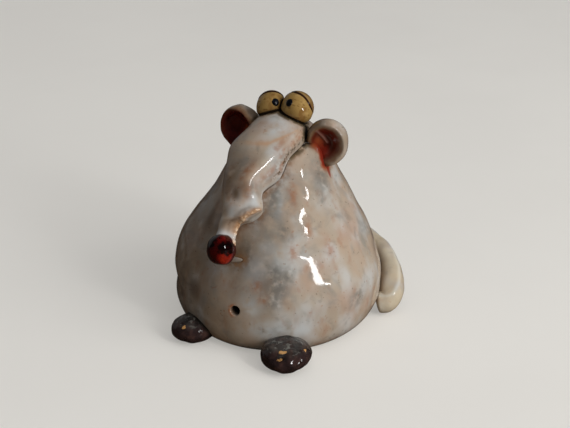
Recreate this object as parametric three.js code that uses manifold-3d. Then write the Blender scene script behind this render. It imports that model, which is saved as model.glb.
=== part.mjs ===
// A glazed ceramic rat figurine, hand-built from separate pieces of clay: a hollow pear-shaped body closed
// by a base disc, with a drooping snout, ball nose, lip, eyes, cupped ears, feet and a hooked tail luted on.
// Millimetres, +Z up. The animal faces -Y, its left side is +X, and it stands on the plane z = 0.
import * as THREE from "three";
import { mergeVertices } from "three/addons/utils/BufferGeometryUtils.js";
import Module from "manifold-3d";

const wasm = await Module();
wasm.setup();

// Joint between two pieces: the layer of slip that lutes them together
const SLIP_GAP = 0.3;

// Body shell, as radii and heights of its pear-shaped profile
const BASE_RADIUS = 37.5;
const BELLY_RADIUS = 45.5;
const BELLY_HEIGHT = 20;
const SHOULDER_RADIUS = 22.5;
const SHOULDER_HEIGHT = 70;
const CROWN_HEIGHT = 88.5;
const CROWN_FLAT = 12; // reach of the flat top of the dome, from its centre
const FLANK_TAPER = 0.5; // radius lost per millimetre of height along the flanks
const LEAN_BACK = 7.5; // how far the crown's centre lies behind the base's
const WALL = 5;
const RIM_WIDTH = 6; // flat rim that the shell stands on, around its open foot

// Base disc that closes the foot
const BASE_THICKNESS = 5;

// Vent hole that lets the hollow body breathe in the kiln, shown as the navel
const VENT_DIAMETER = 3.6;
const VENT_HEIGHT = 21;
const VENT_AZIMUTH = 2.5;

// Hollows (positive) and swellings (negative) left by the hands: where, how wide, and how deep
const HAND_MARKS = [
  { azimuth: -62, height: 19, spread: 24, reach: 5, depth: 1.3 },
  { azimuth: -60, height: 37, spread: 26, reach: 12, depth: -2.4 },
  { azimuth: -24, height: 26, spread: 12, reach: 20, depth: 0.9 },
  { azimuth: 8, height: 22, spread: 20, reach: 14, depth: -0.6 },
  { azimuth: 28, height: 38, spread: 10, reach: 10, depth: -0.7 },
  { azimuth: 39, height: 51, spread: 6, reach: 6, depth: 0.25 },
  { azimuth: 46, height: 55, spread: 5, reach: 2.2, depth: 0.25 },
  { azimuth: 47, height: 62.5, spread: 5, reach: 2.5, depth: 0.25 },
  { azimuth: 50, height: 65, spread: 8, reach: 4.5, depth: -0.7 },
  { azimuth: 36, height: 12, spread: 26, reach: 12, depth: 0.9 },
  { azimuth: 72, height: 30, spread: 22, reach: 14, depth: -1.0 },
  { azimuth: 52, height: 55, spread: 20, reach: 22, depth: 0.7 },
  { azimuth: 89, height: 58, spread: 7, reach: 12, depth: 0.6 },
  { azimuth: 125, height: 42, spread: 28, reach: 20, depth: 0.9 },
  { azimuth: 178, height: 24, spread: 30, reach: 14, depth: -0.8 },
  { azimuth: -130, height: 34, spread: 26, reach: 18, depth: 1.1 },
];
const MARKS_START = 7; // height below which the hand marks fade out towards the round rim

// Snout: a tapered roll that lies down the front, bends at a knuckle and lifts off the chest at its end
const SNOUT_DROP = 38.5; // of its last station, below the crown
const SNOUT_LIFT = 5.4; // of its last station, in front of the chest
const SNOUT_SWING = 5.6; // of its last station, to the animal's right
const SNOUT_HALF_WIDTH = 15; // at its widest
const SNOUT_HALF_DEPTH = 8.2; // at its thickest
// Each station's drop, lift, swing and half-sizes, as shares of those five
const SNOUT_STATIONS = [
  { drop: 0.04, lift: -1.48, swing: 0, width: 0.67, depth: 0.73 },
  { drop: 0.14, lift: -0.89, swing: -0.13, width: 0.86, depth: 0.93 },
  { drop: 0.286, lift: -0.35, swing: 0.51, width: 0.88, depth: 1.01 },
  { drop: 0.436, lift: 0.1, swing: 0.53, width: 0.817, depth: 0.95 },
  { drop: 0.558, lift: 0.87, swing: 0.73, width: 0.593, depth: 0.85 },
  { drop: 0.679, lift: 0.98, swing: 0.5, width: 0.613, depth: 0.7 },
  { drop: 0.753, lift: 0.98, swing: 0.34, width: 0.573, depth: 0.8 },
  { drop: 0.839, lift: 0.94, swing: 0.56, width: 0.46, depth: 0.67 },
  { drop: 0.895, lift: 0.91, swing: 1.03, width: 0.29, depth: 0.6 },
  { drop: 1, lift: 1, swing: 1.12, width: 0.24, depth: 0.55 },
];
const SNOUT_TIP_RADIUS = 4.4; // where the nose is set in
const SNOUT_STEADY = 0.1; // share of its length over which its sections keep their tilt

// Keel down the snout between two flats. It runs at a turn about the snout's length at each station: 0 is the
// animal's left and 90 its front.
const KEEL_LINE = [
  { station: 0, turn: 34 },
  { station: 0.9, turn: 36 },
  { station: 1.8, turn: 29 },
  { station: 2.48, turn: 53.4 },
  { station: 2.87, turn: 63.2 },
  { station: 3.29, turn: 67.2 },
  { station: 3.64, turn: 62.5 },
  { station: 4.44, turn: 62.8 },
  { station: 6, turn: 68 },
];
const KEEL_RISE = 0.36; // above an oval section, as a share of the half-size there
const KEEL_SIDE_SPAN = 58; // turn from the keel to the far edge of the flat on the animal's left
const KEEL_FRONT_SPAN = 72; // turn from the keel to the far edge of the flat in front
const KEEL_RISES = [0.8, 3.9]; // stations between which it grows
const KEEL_FADES = [4.2, 5]; // stations between which it dies away

// Nose ball: its centre is placed as the snout's stations are
const NOSE_RADIUS = 6.2;
const NOSE_DROP = 42.4;
const NOSE_LIFT = 8.9;
const NOSE_SWING = 5.5;
const NOSE_OVERHANG = 2.2; // how far the ball's centre stands out of the snout's end

// Lower lip: a small roll on the chest under the nose
const LIP_HALF_WIDTH = 4.8;
const LIP_RADIUS = 1.2;
const LIP_DROP = 48.6;
const LIP_SWING = 3.2;

// Eyes: balls pressed side by side on the crown, with pupils let into them and lids over their backs
const LEFT_EYE_RADIUS = 6.7;
const RIGHT_EYE_RADIUS = 6.0;
const EYE_SINK = 2.2; // how deep the balls are pressed into the crown
const EYE_PRESS = 0.5; // how far each is flattened against the other
const PUPIL_RADIUS = 1.55;
const PUPIL_PROUD = 0.5; // how far a pupil stands out of its eye
const LEFT_GAZE = { azimuth: -13, elevation: 35 }; // where each pupil sits on its ball
const RIGHT_GAZE = { azimuth: 44, elevation: 32 };
const LID_THICKNESS = 0.6;
const LID_SETBACK = 2.9; // distance of the lid's edge plane behind the eye's centre
const LID_TILT = { azimuth: 150, elevation: 28 }; // which way the left lid faces; the right one mirrors it

// Ears: cupped discs on the sides of the head, each with its centre's drop below the crown
const LEFT_EAR = { azimuth: 84, drop: 7.5, standOff: 5.7, halfWidth: 9 };
const RIGHT_EAR = { azimuth: -94, drop: 9, standOff: 3.2, halfWidth: 9.8 };
const EAR_HALF_LENGTH = 10.5;
const EAR_HALF_DEPTH = 5.6;
const EAR_RIM = 3.2; // width of the rolled rim round the hollow
const EAR_FLOOR = 3.4; // clay left behind the hollow
const EAR_TURN = 15; // how far each ear's hollow turns outwards from straight ahead

// Feet: flattened balls under the front of the belly
const LEFT_FOOT = { azimuth: 30, reach: 11, turn: 14, halfWidth: 10.6, halfLength: 11.9, halfHeight: 6.1 };
const RIGHT_FOOT = { azimuth: -27.5, reach: 6, turn: -22, halfWidth: 8.9, halfLength: 10.4, halfHeight: 5.9 };
const FOOT_FLAT = 0.8; // how much of the ball is pressed flat on the ground

// Tail: a flattened roll from the back of the body round to its left side, where its blunt end hooks in
const TAIL_HEIGHT = 23; // of its root
const TAIL_LIFT = 8.4; // furthest from the body
const TAIL_HALF_WIDTH = 6; // upright, at its root
const TAIL_HALF_DEPTH = 5.6; // through, at its root
// Where each station lies round the body, and its height, lift and half-sizes as shares of those four
const TAIL_STATIONS = [
  { azimuth: 176, height: 1, lift: -0.55, width: 1.05, depth: 1 },
  { azimuth: 156, height: 0.98, lift: -0.06, width: 0.93, depth: 0.82 },
  { azimuth: 140, height: 0.92, lift: 0.21, width: 0.87, depth: 0.68 },
  { azimuth: 129, height: 0.83, lift: 0.52, width: 0.83, depth: 0.65 },
  { azimuth: 119, height: 0.635, lift: 0.68, width: 0.83, depth: 0.85 },
  { azimuth: 112, height: 0.41, lift: 0.75, width: 0.83, depth: 0.94 },
  { azimuth: 108.5, height: 0.26, lift: 0.67, width: 0.85, depth: 0.88 },
  { azimuth: 108, height: 0.217, lift: 0.17, width: 0.85, depth: 0.86 },
];
const TAIL_BLUNT = 4.5; // length over which its ends are rounded off

// Facets of the round forms
const BODY_FACETS = [44, 9]; // round the body, and along each stretch of its profile
const HOLLOW_FACETS = [28, 5];
const BALL_FACETS = [18, 12];
const PUPIL_FACETS = [12, 8];
const LID_FACETS = [24, 16];
const SNOUT_FACETS = [28, 34];
const TAIL_FACETS = [12, 32];
const VENT_SIDES = 16;
const WELD = 1e-4; // distance at which shared vertices merge

// Directions: azimuth 0 is straight ahead (-Y) and 90 the animal's left (+X)
function heading(azimuth, elevation = 0) {
  const a = THREE.MathUtils.degToRad(azimuth);
  const e = THREE.MathUtils.degToRad(elevation);
  return new THREE.Vector3(Math.sin(a) * Math.cos(e), -Math.cos(a) * Math.cos(e), Math.sin(e));
}

// A closed solid from a geometry: merges shared vertices, drops collapsed faces and turns faces outwards
function solidFrom(geometry) {
  const loose = geometry.index ? geometry.toNonIndexed() : geometry;
  const bare = new THREE.BufferGeometry();
  bare.setAttribute("position", loose.getAttribute("position"));
  const merged = mergeVertices(bare, WELD);
  const points = merged.getAttribute("position");
  const corner = [new THREE.Vector3(), new THREE.Vector3(), new THREE.Vector3()];
  const faces = [];
  let volume = 0;
  for (let i = 0; i < merged.index.count; i += 3) {
    const face = [0, 1, 2].map((k) => merged.index.getX(i + k));
    if (new Set(face).size < 3) continue;
    faces.push(face);
    corner.forEach((c, k) => c.fromBufferAttribute(points, face[k]));
    volume += corner[0].dot(corner[1].clone().cross(corner[2]));
  }
  const ordered = volume > 0 ? faces : faces.map(([a, b, c]) => [a, c, b]);
  const vertProperties = new Float32Array(points.array);
  const triVerts = new Uint32Array(ordered.flat());
  return new wasm.Manifold(new wasm.Mesh({ numProp: 3, vertProperties, triVerts }));
}

function geometryFrom(solid) {
  const mesh = solid.getMesh();
  const geometry = new THREE.BufferGeometry();
  geometry.setAttribute("position", new THREE.BufferAttribute(new Float32Array(mesh.vertProperties), 3));
  geometry.setIndex(new THREE.BufferAttribute(new Uint32Array(mesh.triVerts), 1));
  geometry.computeVertexNormals();
  return geometry;
}

// Moves each vertex of a geometry to where a function of its old place says
function reshape(geometry, place) {
  const points = geometry.getAttribute("position");
  const v = new THREE.Vector3();
  for (let i = 0; i < points.count; i += 1) {
    v.fromBufferAttribute(points, i);
    place(v);
    points.setXYZ(i, v.x, v.y, v.z);
  }
  return geometry;
}

// Body profile, as radius and height: foot to belly, belly to shoulder, shoulder to crown
const FOOT_ROLL = 0.62; // share of the rise to the belly over which the foot rolls outwards
const bodyProfile = new THREE.CurvePath();
bodyProfile.add(
  new THREE.CubicBezierCurve(
    new THREE.Vector2(BASE_RADIUS, 0),
    new THREE.Vector2((BASE_RADIUS + 2 * BELLY_RADIUS) / 3, BELLY_HEIGHT * (1 - FOOT_ROLL) * 0.5),
    new THREE.Vector2(BELLY_RADIUS, BELLY_HEIGHT * (1 - FOOT_ROLL)),
    new THREE.Vector2(BELLY_RADIUS, BELLY_HEIGHT),
  ),
);
const flankRise = SHOULDER_HEIGHT - BELLY_HEIGHT;
bodyProfile.add(
  new THREE.CubicBezierCurve(
    new THREE.Vector2(BELLY_RADIUS, BELLY_HEIGHT),
    new THREE.Vector2(BELLY_RADIUS, BELLY_HEIGHT + flankRise / 4),
    new THREE.Vector2(SHOULDER_RADIUS + (FLANK_TAPER * flankRise) / 3, SHOULDER_HEIGHT - flankRise / 3),
    new THREE.Vector2(SHOULDER_RADIUS, SHOULDER_HEIGHT),
  ),
);
const domeRise = CROWN_HEIGHT - SHOULDER_HEIGHT;
bodyProfile.add(
  new THREE.CubicBezierCurve(
    new THREE.Vector2(SHOULDER_RADIUS, SHOULDER_HEIGHT),
    new THREE.Vector2(SHOULDER_RADIUS - (FLANK_TAPER * domeRise) / 2, SHOULDER_HEIGHT + domeRise / 2),
    new THREE.Vector2(CROWN_FLAT, CROWN_HEIGHT),
    new THREE.Vector2(0, CROWN_HEIGHT),
  ),
);
const profileTable = bodyProfile.getPoints(40);

// The profile moved outwards by an offset, closed flat to the axis below
function offsetProfile(offset, steps) {
  const points = [];
  bodyProfile.curves.forEach((curve, n) => {
    for (let i = n === 0 ? 0 : 1; i <= steps; i += 1) {
      const along = curve.getTangent(i / steps);
      const at = curve.getPoint(i / steps);
      points.push(new THREE.Vector2(Math.max(at.x + along.y * offset, 0), at.y - along.x * offset));
    }
  });
  points[points.length - 1].x = 0;
  return [new THREE.Vector2(0, points[0].y), ...points];
}

// How far the hands pressed the wall in, at an azimuth and a height
function pressedIn(azimuth, height) {
  const { smoothstep } = THREE.MathUtils;
  const fade = smoothstep(height, 0, MARKS_START) * (1 - smoothstep(height, SHOULDER_HEIGHT, CROWN_HEIGHT));
  const depths = HAND_MARKS.map((mark) => {
    const turn = ((azimuth - mark.azimuth + 540) % 360) - 180;
    const far = (turn / mark.spread) ** 2 + ((height - mark.height) / mark.reach) ** 2;
    return mark.depth * Math.exp(-far);
  });
  return fade * depths.reduce((sum, depth) => sum + depth, 0);
}

function leanAt(height) {
  return (LEAN_BACK * Math.max(height, 0)) / CROWN_HEIGHT;
}

// The body's form at an offset from its outer face, as one solid
function bodyForm(offset, [segments, steps]) {
  const lathe = new THREE.LatheGeometry(offsetProfile(offset, steps), segments);
  lathe.rotateX(Math.PI / 2);
  return solidFrom(
    reshape(lathe, (v) => {
      const radius = Math.hypot(v.x, v.y);
      const azimuth = THREE.MathUtils.radToDeg(Math.atan2(v.x, -v.y));
      const pressed = radius > 0 ? (radius - pressedIn(azimuth, v.z)) / radius : 1;
      v.x *= pressed;
      v.y = v.y * pressed + leanAt(v.z);
    }),
  );
}

// A point at a distance from the body's outer face, on a heading and at a height
function nearBody(azimuth, height, standOff = 0) {
  const above = profileTable.findIndex((p) => p.y >= height);
  const [low, high] = [profileTable[above - 1], profileTable[above]];
  const radius = THREE.MathUtils.mapLinear(height, low.y, high.y, low.x, high.x);
  const point = heading(azimuth).multiplyScalar(radius - pressedIn(azimuth, height) + standOff);
  return point.add(new THREE.Vector3(0, leanAt(height), height));
}

// Which way a line runs at a share of its length. A steady way looks further along the line and stays square
// to the side direction.
function wayAlong(line, share, side, steady) {
  if (steady === 0) return line.getTangent(share);
  const from = line.getPoint(Math.max(share - steady, 0));
  const to = line.getPoint(Math.min(share + steady, 1));
  return to.sub(from).projectOnPlane(side).normalize();
}

// A ball pulled out along a line of points into a roll, with half-sizes across and through at each. Its
// width lies along a side direction, its ends are rounded over a length, and it can be grown all round.
// Its sections are ovals unless a function of station and turn says how far they stand out of one.
function rollAlong(points, halfSizes, side, endLength, grow, facets, steady = 0, standOut = () => 1) {
  const line = new THREE.CatmullRomCurve3(points);
  const sizes = new THREE.CatmullRomCurve3(
    halfSizes.map(([width, depth]) => new THREE.Vector3(width + grow, depth + grow, 0)),
  );
  const endShare = (endLength + grow) / line.getLength();
  const roll = new THREE.SphereGeometry(1, ...facets).rotateX(Math.PI / 2);
  return solidFrom(
    reshape(roll, (v) => {
      const share = (1 - v.z) / 2;
      const around = Math.atan2(v.y, v.x);
      const inEnd = Math.max(1 - Math.min(share, 1 - share) / endShare, 0);
      const round = Math.sqrt(Math.max(1 - inEnd ** 2, 0));
      const along = wayAlong(line, share, side, steady);
      const across = side.clone().projectOnPlane(along).normalize();
      const outwards = along.clone().cross(across);
      const station = share * (points.length - 1);
      const size = sizes.getPoint(share).multiplyScalar(round * standOut(station, around));
      v.copy(line.getPoint(share));
      v.addScaledVector(across, size.x * Math.cos(around));
      v.addScaledVector(outwards, size.y * Math.sin(around));
    }),
  );
}

// How far the snout's section stands out of an oval: flat on both sides of its keel
function keelStandOut(station, around) {
  const next = Math.max(KEEL_LINE.findIndex((at) => at.station > station), 0);
  const [low, high] = next > 0 ? [KEEL_LINE[next - 1], KEEL_LINE[next]] : KEEL_LINE.slice(-2);
  const keelTurn = THREE.MathUtils.mapLinear(station, low.station, high.station, low.turn, high.turn);
  const offKeel = THREE.MathUtils.radToDeg(around) - keelTurn;
  const span = offKeel < 0 ? KEEL_SIDE_SPAN : KEEL_FRONT_SPAN;
  const reached = Math.abs(offKeel) / span;
  if (reached >= 1) return 1;
  const sine = (part) => Math.sin(THREE.MathUtils.degToRad(span * part));
  const flat = ((1 + KEEL_RISE) * sine(1)) / ((1 + KEEL_RISE) * sine(reached) + sine(1 - reached));
  const grown = THREE.MathUtils.smoothstep(station, ...KEEL_RISES);
  const faded = THREE.MathUtils.smoothstep(station, ...KEEL_FADES);
  return 1 + grown * (1 - faded) * (flat - 1);
}

// An ellipsoid about the origin
function pebble(halfX, halfY, halfZ, [segments, rings] = BALL_FACETS) {
  const ball = new THREE.SphereGeometry(1, segments, rings).rotateX(Math.PI / 2);
  return solidFrom(ball.scale(halfX, halfY, halfZ));
}

// Ball of a radius about a point
function ballAt(centre, radius, facets = BALL_FACETS) {
  return pebble(radius, radius, radius, facets).translate(centre.toArray());
}

// Everything further than a distance from a point, along a direction, as a block of a given size
function beyond(centre, direction, distance, size) {
  const block = new THREE.BoxGeometry(size, size, size).translate(0, 0, size / 2 + distance);
  block.applyQuaternion(new THREE.Quaternion().setFromUnitVectors(new THREE.Vector3(0, 0, 1), direction));
  return solidFrom(block.translate(centre.x, centre.y, centre.z));
}

// Finishes
const CREAM_GLAZE = { color: 0xb5a795, roughness: 0.15, metalness: 0 };
const BARE_CLAY = { color: 0xb08a66, roughness: 0.85, metalness: 0 };
const RED_GLAZE = { color: 0x6e140c, roughness: 0.12, metalness: 0 };
const OCHRE_GLAZE = { color: 0xa5824a, roughness: 0.18, metalness: 0 };
const BLACK_GLAZE = { color: 0x0c0b0d, roughness: 0.1, metalness: 0 };
const BROWN_GLAZE = { color: 0x35262a, roughness: 0.15, metalness: 0 };

const rat = new THREE.Group();

// Adds a finished piece, placed by its own centre
function addPiece(name, solid, finish, centre = new THREE.Vector3()) {
  const geometry = geometryFrom(solid).translate(-centre.x, -centre.y, -centre.z);
  const mesh = new THREE.Mesh(geometry, new THREE.MeshStandardMaterial(finish));
  mesh.name = name;
  mesh.position.copy(centre);
  rat.add(mesh);
}

// Body shell: the outer form less its hollow, its open foot and the vent
const mouthRadius = BASE_RADIUS - RIM_WIDTH;
const mouthDepth = 2 * WALL;
const outerForm = bodyForm(0, BODY_FACETS);
const hollow = bodyForm(-WALL, HOLLOW_FACETS);
const mouth = solidFrom(
  new THREE.CylinderGeometry(mouthRadius, mouthRadius, mouthDepth, BODY_FACETS[0]).rotateX(Math.PI / 2),
);
const ventMiddle = nearBody(VENT_AZIMUTH, VENT_HEIGHT, -WALL / 2);
const vent = solidFrom(
  new THREE.CylinderGeometry(VENT_DIAMETER / 2, VENT_DIAMETER / 2, 3 * WALL, VENT_SIDES)
    .rotateZ(THREE.MathUtils.degToRad(VENT_AZIMUTH))
    .translate(ventMiddle.x, ventMiddle.y, ventMiddle.z),
);
addPiece("body_shell", outerForm.subtract(hollow).subtract(mouth).subtract(vent), CREAM_GLAZE);

// What is luted on keeps clear of the body by the slip layer
const seat = bodyForm(SLIP_GAP, BODY_FACETS);

// Base disc, set into the foot flush with the rim
const discRadius = mouthRadius - SLIP_GAP;
addPiece(
  "base_disc",
  solidFrom(
    new THREE.CylinderGeometry(discRadius, discRadius, BASE_THICKNESS, BODY_FACETS[0])
      .rotateX(Math.PI / 2)
      .translate(0, 0, BASE_THICKNESS / 2),
  ),
  BARE_CLAY,
);

// A point in front of the chest: drop below the crown, lift off the chest, swing to the animal's right
function beforeChest(drop, lift, swing) {
  return nearBody(0, CROWN_HEIGHT - drop, lift).setX(-swing);
}

// Nose ball, lower lip and snout
const LEFTWARDS = new THREE.Vector3(1, 0, 0);
const UPWARDS = new THREE.Vector3(0, 0, 1);
const noseCentre = beforeChest(NOSE_DROP, NOSE_LIFT, NOSE_SWING);
const noseClear = ballAt(noseCentre, NOSE_RADIUS + SLIP_GAP);
addPiece("nose_ball", ballAt(noseCentre, NOSE_RADIUS).subtract(seat), RED_GLAZE, noseCentre);

const lipCentre = beforeChest(LIP_DROP, 0, LIP_SWING);
const lip = pebble(LIP_HALF_WIDTH, LIP_RADIUS, LIP_RADIUS).translate(lipCentre.toArray());
addPiece("lower_lip", lip.subtract(seat).subtract(noseClear), CREAM_GLAZE, lipCentre);

const snoutLine = SNOUT_STATIONS.map(({ drop, lift, swing }) =>
  beforeChest(drop * SNOUT_DROP, lift * SNOUT_LIFT, swing * SNOUT_SWING),
);
const snoutSizes = SNOUT_STATIONS.map((at) => [at.width * SNOUT_HALF_WIDTH, at.depth * SNOUT_HALF_DEPTH]);
const lastLeg = noseCentre.clone().sub(snoutLine.at(-1)).normalize();
snoutLine.push(noseCentre.clone().addScaledVector(lastLeg, -NOSE_OVERHANG));
snoutSizes.push([SNOUT_TIP_RADIUS, SNOUT_TIP_RADIUS]);
const snoutBlunt = SNOUT_TIP_RADIUS / 3; // length over which its ends are rounded off
const snoutForm = (grow) =>
  rollAlong(snoutLine, snoutSizes, LEFTWARDS, snoutBlunt, grow, SNOUT_FACETS, SNOUT_STEADY, keelStandOut);

// Eyes
const crown = new THREE.Vector3(0, LEAN_BACK, CROWN_HEIGHT - EYE_SINK);
const eyes = [
  { side: "left", sign: 1, radius: LEFT_EYE_RADIUS, gaze: LEFT_GAZE },
  { side: "right", sign: -1, radius: RIGHT_EYE_RADIUS, gaze: RIGHT_GAZE },
];
eyes.forEach((eye) => {
  eye.centre = crown.clone().add(new THREE.Vector3(eye.sign * (eye.radius - EYE_PRESS), 0, eye.radius));
  eye.clear = ballAt(eye.centre, eye.radius + SLIP_GAP);
  eye.lidOuter = ballAt(eye.centre, eye.radius + SLIP_GAP + LID_THICKNESS, LID_FACETS);
  eye.lidClear = ballAt(eye.centre, eye.radius + LID_THICKNESS + 2 * SLIP_GAP, LID_FACETS);
});
const eyesClear = eyes[0].lidClear.add(eyes[1].lidClear);
addPiece("snout", snoutForm(0).subtract(seat).subtract(noseClear).subtract(eyesClear), CREAM_GLAZE);

eyes.forEach((eye) => {
  const inwards = LEFTWARDS.clone().multiplyScalar(-eye.sign);
  const midPlane = beyond(crown, inwards, -SLIP_GAP / 2, 8 * eye.radius);
  const sight = heading(eye.gaze.azimuth, eye.gaze.elevation);
  const pupilCentre = eye.centre.clone().addScaledVector(sight, eye.radius + PUPIL_PROUD - PUPIL_RADIUS);
  const socket = ballAt(pupilCentre, PUPIL_RADIUS + SLIP_GAP, PUPIL_FACETS);
  const pupil = ballAt(pupilCentre, PUPIL_RADIUS, PUPIL_FACETS);
  const ball = ballAt(eye.centre, eye.radius).subtract(seat).subtract(midPlane).subtract(socket);
  addPiece(`pupil_${eye.side}`, pupil, BLACK_GLAZE, pupilCentre);
  addPiece(`eyeball_${eye.side}`, ball, OCHRE_GLAZE, eye.centre);

  const lidFacing = heading(LID_TILT.azimuth, LID_TILT.elevation);
  lidFacing.x *= eye.sign;
  const lidSide = beyond(eye.centre, lidFacing, LID_SETBACK, 4 * eye.radius);
  const lid = eye.lidOuter.subtract(eye.clear).intersect(lidSide);
  addPiece(`eyelid_${eye.side}`, lid.subtract(seat).subtract(midPlane), OCHRE_GLAZE, eye.centre);
});

// Ears, cupped discs luted to the sides of the head
[["left", LEFT_EAR], ["right", RIGHT_EAR]].forEach(([side, { azimuth, drop, standOff, halfWidth }]) => {
  const centre = nearBody(azimuth, CROWN_HEIGHT - drop, standOff);
  const disc = pebble(halfWidth, EAR_HALF_DEPTH, EAR_HALF_LENGTH);
  const cupDepth = 2 * EAR_HALF_DEPTH - EAR_FLOOR;
  const cup = pebble(halfWidth - EAR_RIM, cupDepth, EAR_HALF_LENGTH - EAR_RIM)
    .translate([0, -EAR_HALF_DEPTH, 0]);
  const turn = Math.sign(azimuth) * EAR_TURN;
  const ear = disc.subtract(cup).rotate([0, 0, turn]).translate(centre.toArray());
  const seated = ear.subtract(seat).subtract(eyesClear).subtract(snoutForm(SLIP_GAP));
  addPiece(`ear_${side}`, seated, CREAM_GLAZE, centre);
});

// Feet, flattened where they stand
const ground = beyond(new THREE.Vector3(), UPWARDS.clone().negate(), 0, 8 * BELLY_RADIUS);
[["left", LEFT_FOOT], ["right", RIGHT_FOOT]].forEach(([side, foot]) => {
  const centre = heading(foot.azimuth).multiplyScalar(BASE_RADIUS + foot.reach);
  centre.setZ(foot.halfHeight - FOOT_FLAT);
  const ball = pebble(foot.halfWidth, foot.halfLength, foot.halfHeight)
    .rotate([0, 0, foot.turn])
    .translate(centre.toArray());
  addPiece(`foot_${side}`, ball.subtract(ground).subtract(seat), BROWN_GLAZE, centre);
});

// Tail
const tailLine = TAIL_STATIONS.map(({ azimuth, height, lift }) =>
  nearBody(azimuth, height * TAIL_HEIGHT, lift * TAIL_LIFT),
);
const tailSizes = TAIL_STATIONS.map((at) => [at.width * TAIL_HALF_WIDTH, at.depth * TAIL_HALF_DEPTH]);
const tail = rollAlong(tailLine, tailSizes, UPWARDS, TAIL_BLUNT, 0, TAIL_FACETS);
addPiece("tail", tail.subtract(ground).subtract(seat), CREAM_GLAZE);

export default rat;
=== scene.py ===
# Looks of the glazed ceramic rat figurine: hand-modelled clay pieces with run and pooled glazes, built around
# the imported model's frame. Shapes are worked out in millimetres and written in metres. The animal faces -Y,
# its left side is +X, and it stands on z = 0.
import math

import bpy
import numpy as np
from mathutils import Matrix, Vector, noise
from mathutils.bvhtree import BVHTree


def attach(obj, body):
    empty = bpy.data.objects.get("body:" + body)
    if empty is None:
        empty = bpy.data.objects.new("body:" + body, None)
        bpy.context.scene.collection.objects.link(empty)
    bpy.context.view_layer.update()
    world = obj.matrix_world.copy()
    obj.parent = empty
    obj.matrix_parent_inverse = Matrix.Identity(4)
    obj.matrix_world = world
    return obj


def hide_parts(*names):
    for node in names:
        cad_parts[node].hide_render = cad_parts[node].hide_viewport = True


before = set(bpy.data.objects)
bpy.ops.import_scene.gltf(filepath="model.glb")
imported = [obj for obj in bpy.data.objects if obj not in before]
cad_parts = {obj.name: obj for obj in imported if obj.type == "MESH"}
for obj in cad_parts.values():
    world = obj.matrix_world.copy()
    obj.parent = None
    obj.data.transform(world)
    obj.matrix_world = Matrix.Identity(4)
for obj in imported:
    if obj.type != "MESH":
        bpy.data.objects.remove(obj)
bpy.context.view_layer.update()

MM = 0.001
LEFTWARDS = np.array([1.0, 0, 0])
UPWARDS = np.array([0, 0, 1.0])

# Fineness of the skins: rings and segments of each
SKINS = {
    "base_disc": (60, 120),
    "snout": (220, 144),
    "nose": (40, 64),
    "lip": (40, 32),
    "eyeball": (48, 72),
    "pupil": (24, 40),
    "ear": (110, 130),
    "foot": (60, 100),
    "tail": (170, 72),
}
BODY_ROWS = (170, 0.035, 3.5)  # rows up the body, then spread and strength of their crowding at the navel
BODY_TURNS = (301, 5, 4)  # the same round it
LID_ROWS = (40, 9, 20)  # over a lid's outside, round its edge and under it
LID_TURNS = 90
CURVE_STEPS = 200
PROFILE_STEPS = 500
NEAR_STEP = 2  # every how many of these steps are looked at for the nearest
LINE_STEPS = 400
CROWD_STEPS = 4000

# Unevenness of the skins: size, height and offset of each layer of noise
LUMPS = {
    "body": [((17, 17, 34), 0.6, 3.1), ((11, 11, 10), 0.42, 7.7), ((6, 6, 6), 0.13, 1.9)],
    "snout": [(9, 0.05, 2.2), (4, 0.01, 5.8)],
    "nose": [(5, 0.35, 1.3), (2.4, 0.08, 4.1)],
    "lip": [(2.5, 0.2, 3.3)],
    "eyeball": [(5, 0.3, 8.2)],
    "pupil": [(1.5, 0.06, 2.7)],
    "ear": [(7, 0.55, 6.6), (3, 0.12, 9.4)],
    "foot": [(8, 0.7, 4.4), (3.5, 0.4, 1.7)],
    "tail": [(8, 0.5, 3.9), (3.5, 0.15, 7.1)],
}
LUMPS_START = (2, 12)  # heights over which the body's lumps set in

# Body profile and lean, as in the solids
BASE_RADIUS = 37.5
BELLY_RADIUS = 45.5
BELLY_HEIGHT = 20
SHOULDER_RADIUS = 22.5
SHOULDER_HEIGHT = 70
CROWN_HEIGHT = 88.5
CROWN_FLAT = 12
FLANK_TAPER = 0.5
FOOT_ROLL = 0.62
LEAN_BACK = 7.5
RIM_WIDTH = 6
RECESS_DEPTH = 5.5  # of the foot, where the base disc is set in
RECESS_RING = 4  # from the recess's wall to the ring of points that keeps its roof flat
FOOT_EDGE = 0.4  # softening of the edges that it stands on
FOOT_LIP = 0.5

# Base disc
DISC_PLAY = 0.3  # between it and the recess
DISC_THICKNESS = 5
DISC_EDGE = 0.6
DISC_RING = 2.5
DISC_DISH = 0.15

# Navel; the pairs below are shares of its radius
VENT_RADIUS = 1.8
VENT_DEPTH = 6
VENT_HEIGHT = 21
VENT_AZIMUTH = 2.5
VENT_WALL = (0.72, 1.25)  # between these its wall drops
VENT_SHADE = (1, 1.25)  # between these the painted shade in its pit ends
VENT_RUST = (1.4, 0.35)  # place and spread of its rusty edge
VENT_RUST_SIDE = (-1, 2)  # millimetres to the right of its middle over which the rust sets in

# Hollows (positive) and swellings (negative) left by the hands: azimuth, height, spread, reach, depth
HAND_MARKS = [
    (-62, 19, 24, 5, 1.3),
    (-60, 37, 26, 12, -2.4),
    (-24, 26, 12, 20, 0.9),
    (8, 22, 20, 14, -0.6),
    (28, 38, 10, 10, -0.7),
    (39, 51, 6, 6, 0.25),
    (46, 55, 5, 2.2, 0.25),
    (47, 62.5, 5, 2.5, 0.25),
    (50, 65, 8, 4.5, -0.7),
    (36, 12, 26, 12, 0.9),
    (72, 30, 22, 14, -1.0),
    (52, 55, 20, 22, 0.7),
    (89, 58, 7, 12, 0.6),
    (125, 42, 28, 20, 0.9),
    (178, 24, 30, 14, -0.8),
    (-130, 34, 26, 18, 1.1),
]
MARKS_START = 7
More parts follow.
